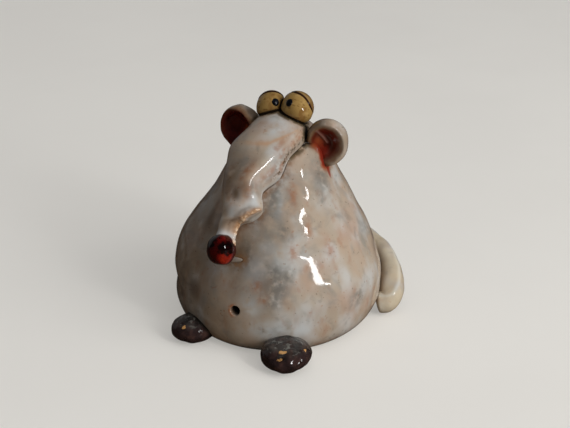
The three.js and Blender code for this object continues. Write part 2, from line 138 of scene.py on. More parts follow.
# Where the lumps were rubbed smooth, in the same order
CALM_SPOTS = [(49, 38, 8, 6, 0.75), (37, 36, 5, 5, 0.8)]
# Where the glaze pooled pale, smudged grey or broke to rust, and where painted shade lies as a grey veil or
# as brown, likewise.
# The low pools on the belly are painted light, and some smudges are painted shadow beside and under the
# snout.
GLAZE_MARKS = {
    "pool": [
        (25, 42, 6, 4.5, 1), (10, 37, 6, 5, 1), (11, 24, 6, 4.5, 1), (18, 14, 9, 4.5, 1), (37, 13, 9, 4, 1),
        (22, 61, 6, 5, 1), (26, 15, 7, 4, 1),
    ],
    "smudge": [
        (27, 51, 4, 3, 1), (23, 37, 5, 3, 1), (30, 36, 4, 3, 1), (23, 27, 5, 4, 1), (4, 42, 5, 6, 1),
        (72, 22, 5, 4, 1), (72, 68, 9, 7, 1), (24, 32, 7, 7, 1), (17, 63, 8, 8, 1),
    ],
    "rust": [
        (33, 44, 3, 3, 1), (13, 32, 3, 2.5, 1), (59, 43, 3, 4, 1), (36, 64, 4, 5, 1), (46, 51, 3, 4, 1),
        (17, 27, 2.5, 2, 1),
    ],
    "veil": [
        (62, 67, 14, 8, 1), (19, 62, 8, 6, 1), (33, 62, 8, 6, 1), (16, 52, 14, 14, 1), (16, 36, 14, 14, 1),
    ],
    "shade": [
        (-1, 41, 9, 9, 0.9), (-28, 23, 10, 8, 0.9), (-41, 17, 7, 5, 0.9), (-36, 49, 8, 12, 0.9),
        (2, 36, 17, 17, 0.5),
    ],
}
DRIP_AZIMUTH = (84, 3)  # and spread of the red drip under the left ear
DRIP_HEIGHTS = (64, 69, 70, 74)
DIM_SIDE = (-22, 40, 110, 150)  # azimuths to the right, away from the window, between which painted shade makes the glaze darker and browner
DIM_TOP = (45, 80)
DIM_DEPTH = 0.65
FOOT_SHADE_HEIGHTS = (1, 5)  # heights over which the brown painted shade along the ground ends
FOOT_SHADE_DEPTH = 0.15

# Snout, as in the solids: shares of its drop, lift, swing, half-width and half-depth at each station
SNOUT_SCALE = (38.5, 5.4, 5.6, 15, 8.2)
SNOUT_STATIONS = [
    (0.04, -1.48, 0, 0.67, 0.73),
    (0.14, -0.89, -0.13, 0.86, 0.93),
    (0.286, -0.35, 0.51, 0.88, 1.01),
    (0.436, 0.1, 0.53, 0.817, 0.95),
    (0.558, 0.87, 0.73, 0.593, 0.85),
    (0.679, 0.98, 0.5, 0.613, 0.7),
    (0.753, 0.98, 0.34, 0.573, 0.8),
    (0.839, 0.94, 0.56, 0.46, 0.67),
    (0.895, 0.91, 1.03, 0.29, 0.6),
    (1, 1, 1.12, 0.24, 0.55),
]
SNOUT_STEADY = 0.1  # share of its length over which its sections keep their tilt
SNOUT_TIP_RADIUS = 4.4
SNOUT_END = SNOUT_TIP_RADIUS / 3  # length over which its ends are rounded
# Lines along it, as station number and turn about its length: 0 is its left side and 90 its front
SNOUT_KEEL = [
    (0, 34), (0.9, 36), (1.8, 29), (2.48, 53.4), (2.87, 63.2),
    (3.29, 67.2), (3.64, 62.5), (4.44, 62.8), (6, 68),
]
SNOUT_RIDGE = [(5.3, 24), (5.6, 28), (6.21, 45), (6.85, 56), (8.01, 25), (8.58, 16), (10, 14)]
SNOUT_BROW = [(0.91, 37), (1.42, 49), (1.91, 65), (2.03, 85), (2.05, 114)]
# Keel
KEEL_EASE, KEEL_EASE_STEPS = 0.3, 9  # stations to either side over which the keel's line is evened out
KEEL_RANGE = (0.8, 3.9, 4.2, 5)  # stations between which it comes and goes
KEEL_RISE = 0.36  # above an oval section, as a share of the half-depth there
FACET_SPAN = 58  # turn from the keel to the far edge of the flat side
FRONT_SPAN = 72  # turn from the keel to the far edge of the flat front
KEEL_SOFTNESS = 10
# Cord of glaze along the neck
RIDGE_HEIGHT = 1.4
RIDGE_TWIST = 0.5
RIDGE_GRAIN = (1.3, 3.3)  # size and offset of the noise that twists it
RIDGE_START = (5.2, 5.8)
RIDGE_WIDTH = 13
RIDGE_WIDENING = 7
RIDGE_WIDENS = (6.8, 8.4)
CORD_SHADE_BANDS = (1.9, 0.6)  # place and spread of the painted shade on either side, in the cord's widths
CORD_SHADE_DEPTH = 0.45
# Swellings and glaze marks; the shade marks are painted shade where it is turned from the light: station,
# turn, reach along, spread round and depth
CREASE = (4.45, 25, 0.25, 36, 0.35)
KNUCKLE = (5.7, 20, 0.8, 26, 0.6)
SNOUT_MARKS = {
    "pool": [(1.17, 73, 0.5, 17, 1), (5.05, 41, 0.5, 17, 1), (6.56, 90, 0.5, 17, 1), (3.5, 36, 0.5, 17, 1)],
    "shade": [(3.9, 126, 1.3, 34, 0.9), (4.75, 94, 0.5, 17, 0.95), (8.2, 88, 0.6, 24, 0.6)],
    "smudge": [
        (2.9, 20, 1.0, 17, 0.7), (4.3, 46, 0.35, 26, 0.9), (2.1, 8, 1.1, 10, 1), (3.6, 96, 0.8, 14, 0.5),
    ],
    "rust": [
        (3.2, 33, 0.5, 8, 1), (2.1, 31, 0.5, 7, 0.8), (3.7, 78, 0.8, 9, 1), (4.6, 60, 0.4, 12, 1),
        (5.2, 110, 0.8, 14, 0.7), (1.3, 22, 0.6, 9, 1), (2.6, 12, 0.7, 8, 1), (1.8, 46, 0.5, 8, 0.9),
    ],
    "rim": [(5.0, 42, 0.45, 15, 1), (6.5, 92, 0.5, 15, 0.7)],
}
BROW_REACH = 0.13  # stations to either side of the brow's line where clay shows
BROW_TURN = (70, 45)
BROW_WEAR = 0.6
# Bands along it: depth, turn, spread, and the stations between which each comes and goes
WORN_KEEL = (0.35, 6, 8, 2.6, 3.6, 5, 6)  # its turn is from the keel
# A painted highlight along the edge on the window's side
EDGE_HIGHLIGHT = (0.7, -12, 11, 1, 2, 7.5, 8.5)
OLIVE_SPECKS = (1, 9, 9, 0.5, 0.9, 2.8, 3.6)
COLLAR_PLACE, COLLAR_REACH, COLLAR_HEIGHT = 0.15, 0.22, 0.5  # place is in stations before the tip
PALE_PLACE, PALE_REACH = 0.75, 0.35  # pale glaze behind the collar

# Nose
NOSE_RADIUS = 6.2
NOSE_SHAPE = (0.98, 1, 1.04)
NOSE_PLACE = (42.4, 8.9, 5.5)  # drop, lift and swing of its centre
NOSE_OVERHANG = 2.2
# Patches of painted light, brighter red on the side toward the window and on top, and of black glaze, with
# painted shade on the far side: azimuth, elevation, spread and depth
NOSE_LIT_PATCHES = [(46, -12, 44, 1), (0, 76, 36, 0.6)]
NOSE_DARKS_AND_SHADE = [(42, 28, 36, 1), (66, 24, 40, 1), (-60, 45, 64, 1), (-95, -20, 96, 1)]

# Lower lip
LIP_HALF_WIDTH = 4.8
LIP_RADIUS = 1.2
LIP_PLACE = (48.6, 0, 3.2)
LIP_BEND = 0.03
LIP_SMUDGE, LIP_SHADE = 0.5, 0.3

# Eyes: side, radius, and azimuth and elevation of the pupil
EYES = {"left": (1, 6.7, (-13, 35)), "right": (-1, 6.0, (44, 32))}
EYE_SINK = 2.2
EYE_PRESS = 0.5
EYE_DROOP = (0.7, -0.5, -0.5)  # way in which an eye sags
EYE_SAG = 0.9
EYE_GAP = 0.05
PUPIL_RADIUS = 1.55
PUPIL_TALL = 1.1
PUPIL_DEPTH = 0.8
PUPIL_PROUD = 0.5
LID_THICKNESS = 0.4
LID_OVERLAP = 0.3
LID_SETBACK = 2.9
LID_TILT = (150, 28)
LID_WAVE, LID_WAVES = 0.05, 3
LID_GAP = 0.1
LID_LINE = (35, 37, 52, 60)  # rows between which its edge is dark

# Ears: side, azimuth, drop, stand-off, half-width, how far the hollow lies off the middle, foot's narrowing
EARS = {"left": (1, 84, 7.5, 5.7, 9.0, -0.7, 0.14), "right": (-1, 94, 9, 3.2, 9.8, 0.8, 0.34)}
EAR_HALF_LENGTH = 10.5
EAR_TURN = 15
# Sections from the middle of the hollow over the rolled rim to the back: share of the half-size, depth
EAR_BACK = [(1, -0.8), (0.95, 1.8), (0.76, 4), (0.42, 5.3), (0, 5.6)]
EAR_SECTIONS = {
    "left": [(0, 0.3), (0.24, 0), (0.42, -0.9), (0.58, -2.2), (0.72, -3.5), (0.84, -4.1), (0.95, -3.1)],
    "right": [(0, 0.4), (0.34, 0), (0.58, -1), (0.74, -2.6), (0.85, -3.8), (0.92, -4.2), (0.98, -3)],
}
EAR_FRONT = 0.5  # share of the section that lies in front
EAR_HOLLOW = (0.5, 0.86)  # shares of the half-size from the hollow's floor to the rim's crest
EAR_FOOT = (0.1, 1)  # shares of the half-length, downwards, over which it narrows
EAR_FOOT_SHIFT = 2.2
EAR_PAINT = {"left": (0.16, 0.5), "right": (0.26, 0.66)}  # where the red fades out along the section
EAR_OPEN = 222  # turn at which the left ear's rim runs out into the head
EAR_OPEN_SPREAD = 46
EAR_OPEN_DEPTH = 1.6
EAR_OPEN_RED = 0.95
EAR_OPEN_PAINT = (0.5, 0.62)  # where the red fades out there
FOLD_ENDS = ((-4.4, 6.6), (0, 0))  # of the small fold in the left hollow, across and up
FOLD_WIDTH = 0.6
FOLD_HEIGHT = 0.7
FOLD_RED = 0.3  # only where the red is stronger than this does the fold show
# Patches in the hollow: place across and up, reach both ways, depth
EMBER_SPOT = (-3.6, 0.4, 1.8, 2.5, 1)  # orange beside the fold
GLOW_SPOT = (-4, -5, 4.5, 5.5, 1)  # red where the hollow runs out
# Darker brown on the rims, partly painted shade: turn about the ear, reach and depth
EAR_SHADES = {"left": [(128, 34, 0.9), (15, 30, 0.3)], "right": [(175, 50, 0.6), (55, 18, 0.4)]}

# Feet: azimuth, reach beyond the base, turn, half-width, half-length, half-height
FEET = {"left": (30, 11, 14, 10.6, 11.9, 6.1), "right": (-27.5, 6, -22, 8.9, 10.4, 5.9)}
FOOT_FLAT = 0.8
FOOT_TOP = (1.3, 1.8)  # half-heights over which its top begins
# Painted warm highlights on them: azimuth, elevation and spread as seen from the foot's middle
WARM_GLINT_SPOTS = {"left": [(-8, 52, 6), (0, 52, 5), (9, 54, 6), (-5, 31, 6), (79, 37, 5)], "right": [(19, 38, 7)]}

# Tail, as in the solids: azimuth, then shares of its height, lift, half-width and half-depth
TAIL_SCALE = (23, 8.4, 6, 5.6)
TAIL_STATIONS = [
    (176, 1, -0.55, 1.05, 1),
    (156, 0.98, -0.06, 0.93, 0.82),
    (140, 0.92, 0.21, 0.87, 0.68),
    (129, 0.83, 0.52, 0.83, 0.65),
    (119, 0.635, 0.68, 0.83, 0.85),
    (112, 0.41, 0.75, 0.83, 0.94),
    (108.5, 0.26, 0.67, 0.85, 0.88),
    (108, 0.217, 0.17, 0.85, 0.86),
]
TAIL_BLUNT = 4.5
TAIL_CLEAR = 0.05  # of the ground
TAIL_RIDGE = 0.6
TAIL_RIDGE_TURN = -30
TAIL_RIDGE_SPREAD, TAIL_HIGHLIGHT_SPREAD = 22, 8  # of the ridge, and of the painted highlight along it
TAIL_HOOK = (0.84, 0.94)  # shares of its length over which the hooked end begins
TAIL_POOL, TAIL_HOOK_POOL = 0.2, 0.5
TAIL_POOL_TURN = (-110, 35)
TAIL_RUST = 0.9
TAIL_RUST_TURN = (-48, 14)
# Painted shade on its inner side, which faces the body, deepest at the bend
TAIL_SHADE_TURN = (100, 45)
TAIL_SHADE_END = (0.9, 1)
TAIL_SHADE, TAIL_BEND_SHADE = 0.7, 0.8
TAIL_BEND = (0.76, 0.1)

# Joints
SINK = 1.2  # how deep a luted piece reaches into the body
JOINT_FAR = 5.0  # distances from a joint are counted up to this
CREASE_START = (72, 82)  # heights over which joints begin to hold dark glaze
CREASE_END = (0.3, 3.4)
BLUSH_SIDE = (14, 17)  # where the ear's red ran onto the head: to the left, to the front and about a height
BLUSH_FRONT = (-10, -4)
BLUSH_HEIGHT = (75, 6)
BLUSH_END = (0.3, 3.6)

# Glazes
GLAZE_IOR = 1.5
GLAZE_RELIEF, SNOUT_RELIEF = 0.012, 0.005
CLOUD_SHIFT = (1, 0.7, 1.3)  # how a shift of noise is shared among the axes


# Small maths

def smoothstep(value, low, high):
    t = np.clip((value - low) / (high - low), 0, 1)
    return t * t * (3 - 2 * t)


def fade(value, low, high):
    return 1 - smoothstep(value, low, high)


def between(value, start, full, ease, end):
    """Rises from start to full and falls again from ease to end."""
    return smoothstep(value, start, full) * fade(value, ease, end)


def bump(value, centre, width):
    return np.exp(-(((value - centre) / width) ** 2))


def mark_at(first, second, first_place, second_place, first_reach, second_reach, depth):
    """Depth at each point of a soft round mark on a surface that two numbers measure."""
    return depth * bump(first, first_place, first_reach) * bump(second, second_place, second_reach)


def marked(marks, first, second):
    """How strongly any of a list of marks shows at each point."""
    return np.maximum.reduce([mark_at(first, second, *mark) for mark in marks])


def wrapped(turn):
    """A turn in degrees as one from -180 to 180."""
    return (turn + 540) % 360 - 180


def heading(azimuth, elevation=0):
    """Direction as an array: azimuth 0 is straight ahead and 90 the animal's left."""
    a = np.radians(azimuth)
    e = np.radians(elevation)
    return np.stack([np.sin(a) * np.cos(e), -np.cos(a) * np.cos(e), np.sin(e) + 0 * a], axis=-1)


def unit(vectors):
    return vectors / np.linalg.norm(vectors, axis=-1, keepdims=True)


def spin_of(turn):
    """The turn about the upright as a matrix."""
    cosine, sine = math.cos(math.radians(turn)), math.sin(math.radians(turn))
    return np.array([[cosine, -sine, 0], [sine, cosine, 0], [0, 0, 1]])


def frame_about(way):
    """Two directions square to a direction."""
    first = unit(np.cross(way, UPWARDS))
    return first, np.cross(way, first)


def round_way(first, second, around):
    """Directions round an axis, from the first towards the second."""
    return first * np.cos(around)[..., None] + second * np.sin(around)[..., None]


def spline(points, share):
    """Points on a centripetal Catmull-Rom curve through the given points, each leg an equal share."""
    points = np.asarray(points, dtype=float)
    padded = np.vstack([2 * points[0] - points[1], points, 2 * points[-1] - points[-2]])
    legs = len(points) - 1
    leg = np.clip((share * legs).astype(int), 0, legs - 1)
    t = (share * legs - leg)[..., None]
    p0, p1, p2, p3 = (padded[leg + k] for k in range(4))
    d0, d1, d2 = (
        np.sqrt(np.linalg.norm(b - a, axis=-1, keepdims=True)) + 1e-9
        for a, b in ((p0, p1), (p1, p2), (p2, p3))
    )
    m1 = ((p1 - p0) / d0 - (p2 - p0) / (d0 + d1) + (p2 - p1) / d1) * d1
    m2 = ((p2 - p1) / d1 - (p3 - p1) / (d1 + d2) + (p3 - p2) / d2) * d1
    return (
        (2 * t**3 - 3 * t**2 + 1) * p1
        + (t**3 - 2 * t**2 + t) * m1
        + (3 * t**2 - 2 * t**3) * p2
        + (t**3 - t**2) * m2
    )


def clustered(low, high, centre, count, width, crowd):
    """Rising values from low to high that crowd together about a centre."""
    fine = np.linspace(low, high, CROWD_STEPS)
    density = 1 + crowd * bump(fine, centre, width)
    total = np.concatenate([[0], np.cumsum((density[1:] + density[:-1]) / 2)])
    return np.interp(np.linspace(0, 1, count), total / total[-1], fine)


def ripple(points, size, offset):
    """Smooth noise of a given size in millimetres at each point; size may differ per axis."""
    scaled = np.asarray(points) / size + offset
    flat = scaled.reshape(-1, 3)
    values = np.array([noise.noise(Vector(p)) for p in flat])
    return values.reshape(scaled.shape[:-1])


def swell_of(points, layers, vary=0):
    """Height of layers of noise at each point; vary sets the first layer apart from a twin's."""
    total = 0
    for size, height, offset in layers:
        total = total + height * ripple(points, np.asarray(size), offset + vary)
        vary = 0
    return total


# Body form

def bezier(p0, p1, p2, p3):
    t = np.linspace(0, 1, CURVE_STEPS)[:, None]
    p0, p1, p2, p3 = (np.array(p, dtype=float) for p in (p0, p1, p2, p3))
    return (1 - t) ** 3 * p0 + 3 * (1 - t) ** 2 * t * p1 + 3 * (1 - t) * t**2 * p2 + t**3 * p3


def body_profile():
    """Radius and height of the outer face, foot to crown, in small even steps."""
    roll_start = BELLY_HEIGHT * (1 - FOOT_ROLL)
    flank = SHOULDER_HEIGHT - BELLY_HEIGHT
    dome = CROWN_HEIGHT - SHOULDER_HEIGHT
    corners = [
        (BASE_RADIUS, 0),
        ((BASE_RADIUS + 2 * BELLY_RADIUS) / 3, roll_start / 2),
        (BELLY_RADIUS, roll_start),
        (BELLY_RADIUS, BELLY_HEIGHT),
        (BELLY_RADIUS, BELLY_HEIGHT + flank / 4),
        (SHOULDER_RADIUS + FLANK_TAPER * flank / 3, SHOULDER_HEIGHT - flank / 3),
        (SHOULDER_RADIUS, SHOULDER_HEIGHT),
        (SHOULDER_RADIUS - FLANK_TAPER * dome / 2, SHOULDER_HEIGHT + dome / 2),
        (CROWN_FLAT, CROWN_HEIGHT),
        (0, CROWN_HEIGHT),
    ]
    foot_curve, flank_curve, dome_curve = (bezier(*corners[first:first + 4]) for first in (0, 3, 6))
    path = np.vstack([foot_curve, flank_curve[1:], dome_curve[1:]])
    reach = np.concatenate([[0], np.cumsum(np.linalg.norm(np.diff(path, axis=0), axis=1))])
    even = np.linspace(0, reach[-1], PROFILE_STEPS)
    return np.stack([np.interp(even, reach, path[:, k]) for k in range(2)], axis=1)


PROFILE = body_profile()
PROFILE_ALONG = unit(np.gradient(PROFILE, axis=0))
PROFILE_OUT = np.stack([PROFILE_ALONG[:, 1], -PROFILE_ALONG[:, 0]], axis=1)


def pressed_in(azimuth, height):
    """How deep the hand marks go in."""
    depth = 0
    for mark_azimuth, mark_height, spread, reach, deep in HAND_MARKS:
        turn = wrapped(azimuth - mark_azimuth)
        depth = depth + deep * np.exp(-((turn / spread) ** 2) - ((height - mark_height) / reach) ** 2)
    return between(height, 0, MARKS_START, SHOULDER_HEIGHT, CROWN_HEIGHT) * depth


def lean_at(height):
    return LEAN_BACK * np.maximum(height, 0) / CROWN_HEIGHT


def near_body(azimuth, height, stand_off=0):
    """Points at a distance from the body's outer face."""
    azimuth, height = np.asarray(azimuth, dtype=float), np.asarray(height, dtype=float)
    radius = np.interp(height, PROFILE[:, 1], PROFILE[:, 0])
    point = heading(azimuth) * (radius - pressed_in(azimuth, height) + stand_off)[..., None]
    point[..., 1] += lean_at(height)
    point[..., 2] = height
    return point


def before_chest(drop, lift, swing):
    point = near_body(0, CROWN_HEIGHT - drop, lift)
    point[0] = -swing
    return point


def off_body(points):
    """Distance of points from the body's outer face, negative inside, and the way out."""
    flat = points.reshape(-1, 3)
    x, y, z = flat[:, 0], flat[:, 1] - lean_at(flat[:, 2]), flat[:, 2]
    azimuth = np.degrees(np.arctan2(x, -y))
    spot = np.stack([np.hypot(x, y) + pressed_in(azimuth, z), z], axis=1)
    apart = ((spot[:, None, :] - PROFILE[None, ::NEAR_STEP, :]) ** 2).sum(axis=2)
    nearest = np.argmin(apart, axis=1) * NEAR_STEP
    distance = ((spot - PROFILE[nearest]) * PROFILE_OUT[nearest]).sum(axis=1)
    way = heading(azimuth) * PROFILE_OUT[nearest, :1]
    way[:, 2] = PROFILE_OUT[nearest, 1]
    return distance.reshape(points.shape[:-1]), way.reshape(points.shape)


def seat(points):
    """Points that lie too deep in the body move out to the depth of a joint."""
    distance, way = off_body(points)
    return points + way * np.maximum(-SINK - distance, 0)[..., None]


# Meshes

def even_turns(segments):
    return np.linspace(0, 2 * math.pi, segments, endpoint=False)


def ring_grid(shares, turns):
    return np.meshgrid(shares[1:-1], turns, indexing="ij")


def closed_skin(shares, turns, place):
    """Points and faces of a closed skin: rings of points between two end points."""
    rings = place(*ring_grid(shares, turns))
    count, segments = rings.shape[:2]
    ends = place(shares[[0, -1]][:, None], np.zeros((2, 1)))[:, 0]
    points = np.vstack([rings.reshape(-1, 3), ends])
    first, last = count * segments, count * segments + 1
    ring = np.arange(segments)
    following = np.roll(ring, -1)
    faces = []
    for row in range(count - 1):
        low, high = row * segments, (row + 1) * segments
        faces += np.stack([low + ring, low + following, high + following, high + ring], axis=1).tolist()
    faces += [[first, b, a] for a, b in zip(ring.tolist(), following.tolist())]
    top = (count - 1) * segments
    faces += [[last, top + a, top + b] for a, b in zip(ring.tolist(), following.tolist())]
    corner = points[np.array([face[:3] for face in faces])]
    volume = np.einsum("ij,ij->i", corner[:, 0], np.cross(corner[:, 1], corner[:, 2])).sum()
    if volume < 0:
        faces = [face[::-1] for face in faces]
    return points, faces


def even_skin(kind, place):
    """A closed skin of evenly spread rings, with the share along and the turn round of each ring point."""
    rings, segments = SKINS[kind]
    shares, turns = np.linspace(0, 1, rings), even_turns(segments)
    return *closed_skin(shares, turns, place), *ring_grid(shares, turns)


def sphere_way(along, around):
    """Unit vectors over a sphere, from the bottom end to the top."""
    height = 2 * along - 1
    flat = np.sqrt(np.maximum(1 - height**2, 0))
    return np.stack([flat * np.cos(around), flat * np.sin(around), height + 0 * around], axis=-1)


def ball_skin(kind, place=sphere_way):
    """A closed skin whose rings crowd together at both ends."""
    rings, segments = SKINS[kind]
    return closed_skin((1 - np.cos(np.linspace(0, math.pi, rings))) / 2, even_turns(segments), place)


def ring_numbers(numbers):
    """Numbers of the ring points of a skin, with none at its two end points."""
    return {key: np.append(value.ravel(), [0, 0]) for key, value in numbers.items()}


def normals_of(points, faces):
    corners = np.array([face if len(face) == 4 else face + face[-1:] for face in faces])
    p = points[corners]
    face_normals = np.cross(p[:, 2] - p[:, 0], p[:, 3] - p[:, 1])
    total = np.zeros_like(points)
    for k in range(4):
        np.add.at(total, corners[:, k], face_normals)
    return unit(total + 1e-12)


def lumpy(points, faces, kind, vary=0):
    """Points moved along their normals by their kind's layers of noise."""
    return points + normals_of(points, faces) * swell_of(points, LUMPS[kind], vary)[:, None]


def roll_along(line, sizes, side, end_length, along, around, steady=0.0, shape=1.0):
    """A roll along a line of points, with half-sizes at each and rounded ends: its points and their way out.
    A steady roll keeps its sections along the side direction and turns them slowly."""
    fine = spline(line, np.linspace(0, 1, LINE_STEPS))
    length = np.linalg.norm(np.diff(fine, axis=0), axis=1).sum()
    near_end = np.minimum(along, 1 - along) * length / end_length
    rounding = np.sqrt(np.maximum(1 - np.maximum(1 - near_end, 0) ** 2, 0))[..., None]
    reach = max(steady, 1e-3)
    forward = unit(spline(line, np.minimum(along + reach, 1)) - spline(line, np.maximum(along - reach, 0)))
    if steady:
        forward = unit(forward - side * (forward @ side)[..., None])
    across = unit(side - forward * (forward @ side)[..., None])
    outward = np.cross(forward, across)
    size = spline(sizes, along)
    offset = round_way(across * size[..., :1], outward * size[..., 1:2], around)
    points = spline(line, along) + offset * rounding * np.asarray(shape)[..., None]
    return points, round_way(across, outward, around)


def make(name, points, faces, finish, node, slot, **values):
    """A finished piece that stands for a node of the solids, with numbers at its vertices for its finish."""
    mesh = bpy.data.meshes.new(name)
    mesh.from_pydata((points * MM).tolist(), [], faces)
    mesh.shade_smooth()
    for key, numbers in values.items():
        layer = mesh.attributes.new(key, "FLOAT", "POINT")
        layer.data.foreach_set("value", np.broadcast_to(numbers, len(points)).astype(np.float32))
    mesh.materials.append(finish)
    piece = bpy.data.objects.new(name, mesh)
    bpy.context.scene.collection.objects.link(piece)
    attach(piece, "root")
    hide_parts(node)
    return piece


# Materials

def srgb(red, green, blue):
    """A colour written as 0 to 255 screen values, as linear light with alpha."""
    parts = (red / 255, green / 255, blue / 255)
    return tuple(p / 12.92 if p <= 0.04045 else ((p + 0.055) / 1.055) ** 2.4 for p in parts) + (1.0,)


def feed(tree, source, socket):
    """Links another node's output to a socket, or sets the socket to a constant."""
    if isinstance(source, bpy.types.NodeSocket):
        tree.links.new(source, socket)
    else:
        socket.default_value = source


def add_node(tree, kind, inputs, **settings):
    """A shader node with its settings made and its inputs fed."""
    node = tree.nodes.new("ShaderNode" + kind)
    for key, value in settings.items():
        setattr(node, key, value)
    for key, source in inputs.items():
        feed(tree, source, node.inputs[key])
    return node


class Finish:
    """A node material built up as layers of colour over one another."""

    def __init__(self, name, base, roughness):
        self.material = bpy.data.materials.new(name)
        self.material.use_nodes = True
        self.tree = self.material.node_tree
        self.shader = self.tree.nodes["Principled BSDF"]
        self.shader.inputs["IOR"].default_value = GLAZE_IOR
        self.shader.inputs["Roughness"].default_value = roughness
        self.place = add_node(self.tree, "TexCoord", {}).outputs["Object"]
        self.colour = base

    def rise(self, value, low, high):
        """A mask that rises softly from low to high."""
        inputs = {"Value": value, "From Min": low, "From Max": high}
        return add_node(self.tree, "MapRange", inputs, interpolation_type="SMOOTHSTEP").outputs["Result"]

    def fall(self, value, low, high):
        return self.less(1.0, self.rise(value, low, high))

    def clouds(self, size, low, high, shift=0.0, detail=3.0, stretch=(1, 1, 1), distortion=0.0):
        """Noise of a size in millimetres, as a mask that rises from low to high."""
        moved = tuple(shift * share for share in CLOUD_SHIFT)
        scale = tuple(1 / share for share in stretch)
        mapping = add_node(self.tree, "Mapping", {"Vector": self.place, "Location": moved, "Scale": scale})
        inputs = {
            "Vector": mapping.outputs["Vector"],
            "Scale": 1 / (size * MM),
            "Detail": detail,
            "Distortion": distortion,
        }
        return self.rise(add_node(self.tree, "TexNoise", inputs).outputs["Fac"], low, high)

    def number(self, name):
        """A number that the mesh holds at its vertices."""
        return add_node(self.tree, "Attribute", {}, attribute_name=name).outputs["Fac"]

    def maths(self, operation, first, second):
        return add_node(self.tree, "Math", {0: first, 1: second}, operation=operation).outputs["Value"]

    def times(self, first, second):
        return self.maths("MULTIPLY", first, second)

    def plus(self, first, second):
        return self.maths("ADD", first, second)

    def less(self, first, second):
        return self.maths("SUBTRACT", first, second)

    def layer(self, colour, mask, strength=1.0):
        """Lays a colour over what is there, where the mask is."""
        if strength != 1.0:
            mask = self.times(mask, strength)
        inputs = {"Factor": mask, "A": self.colour, "B": colour}
        self.colour = add_node(self.tree, "Mix", inputs, data_type="RGBA").outputs["Result"]

    def cloud_layer(self, colour, strength, *noise_numbers, **noise_settings):
        self.layer(colour, self.clouds(*noise_numbers, **noise_settings), strength)

    def mark(self, colour, strength, name, mask):
        """Lays a colour where a number of the mesh and a mask are both high."""
        self.layer(colour, self.times(self.number(name), mask), strength)

    def height(self, mask, distance):
        """Adds relief of a depth in millimetres."""
        node = add_node(self.tree, "Bump", {"Distance": distance * MM, "Height": mask})
        feed(self.tree, node.outputs["Normal"], self.shader.inputs["Normal"])

    def roughen(self, mask, low, high):
        node = add_node(self.tree, "MapRange", {"Value": mask, "To Min": low, "To Max": high})
        feed(self.tree, node.outputs["Result"], self.shader.inputs["Roughness"])

    def done(self):
        feed(self.tree, self.colour, self.shader.inputs["Base Color"])
        return self.material


# Cream glaze and what shows through it, and the colours of painted shade and painted highlights on it
CREAM = srgb(178, 163, 145)
YELLOW_CREAM = srgb(216, 202, 172)
PALE_POOL_AND_HIGHLIGHT = srgb(200, 203, 202)
BEIGE = srgb(182, 160, 139)
ROSE = srgb(178, 148, 132)
GREY_POOL = srgb(138, 137, 131)
SMUDGE_AND_SHADE = srgb(112, 110, 104)
SHADE_BROWN = srgb(82, 60, 36)
OLIVE = srgb(84, 72, 52)
TAN = srgb(134, 96, 64)
RUST = srgb(160, 100, 62)
STAIN = srgb(34, 26, 17)
CLAY = srgb(188, 142, 102)
HIGHLIGHT_BUFF = srgb(232, 208, 176)
SOOT = srgb(16, 12, 8)
PIT_SHADE = srgb(12, 8, 5)

# Reds of the ears and the nose
BLOOD = srgb(140, 42, 28)
EMBER = srgb(166, 82, 46)
RIM_BROWN = srgb(120, 88, 58)
RUSSET = srgb(100, 52, 36)
MAROON = srgb(84, 20, 13)
DARK_MAROON = srgb(48, 10, 6)
FOLD_PINK = srgb(150, 112, 100)
CRIMSON = srgb(56, 4, 3)
RED = srgb(100, 12, 8)
# Below, the nose's brighter red of painted light, then its black, which also paints shade
LIT_ORANGE_RED = srgb(160, 42, 18)
RED_BLACK = srgb(6, 2, 2)
RED_FLECK = srgb(22, 4, 3)

# Eyes
OCHRE = srgb(160, 128, 74)
PALE_OCHRE = srgb(184, 150, 94)
BROWN_OCHRE = srgb(128, 92, 48)
STREAK = srgb(92, 62, 30)
SOCKET_BROWN = srgb(112, 76, 36)
SOCKET_BLACK = srgb(20, 12, 8)
LID_OCHRE = srgb(150, 120, 74)
LID_BROWN = srgb(112, 80, 44)
LID_MAROON = srgb(40, 15, 12)
BLUE_BLACK = srgb(7, 8, 12)
COLD_BLUE = srgb(24, 30, 48)

# Feet
PURPLE_BROWN = srgb(48, 35, 34)
WARM_BROWN = srgb(76, 54, 48)
GREEN_GREY = srgb(84, 90, 86)
FOOT_BLACK = srgb(14, 10, 9)
SHEEN_GREY = srgb(150, 150, 142)
WARM_GLINT = srgb(212, 160, 100)
FOOT_STAIN = srgb(12, 11, 7)

# Bare clay of the base
FIRED_CLAY = srgb(176, 138, 102)
DARK_CLAY = srgb(150, 112, 80)
PALE_GROG = srgb(206, 176, 140)
DARK_GROG = srgb(92, 64, 44)


# A cloud layer says colour, strength, then the size, low, high and shift of its noise. A mark says colour,
# strength, the mesh's number and a mask.

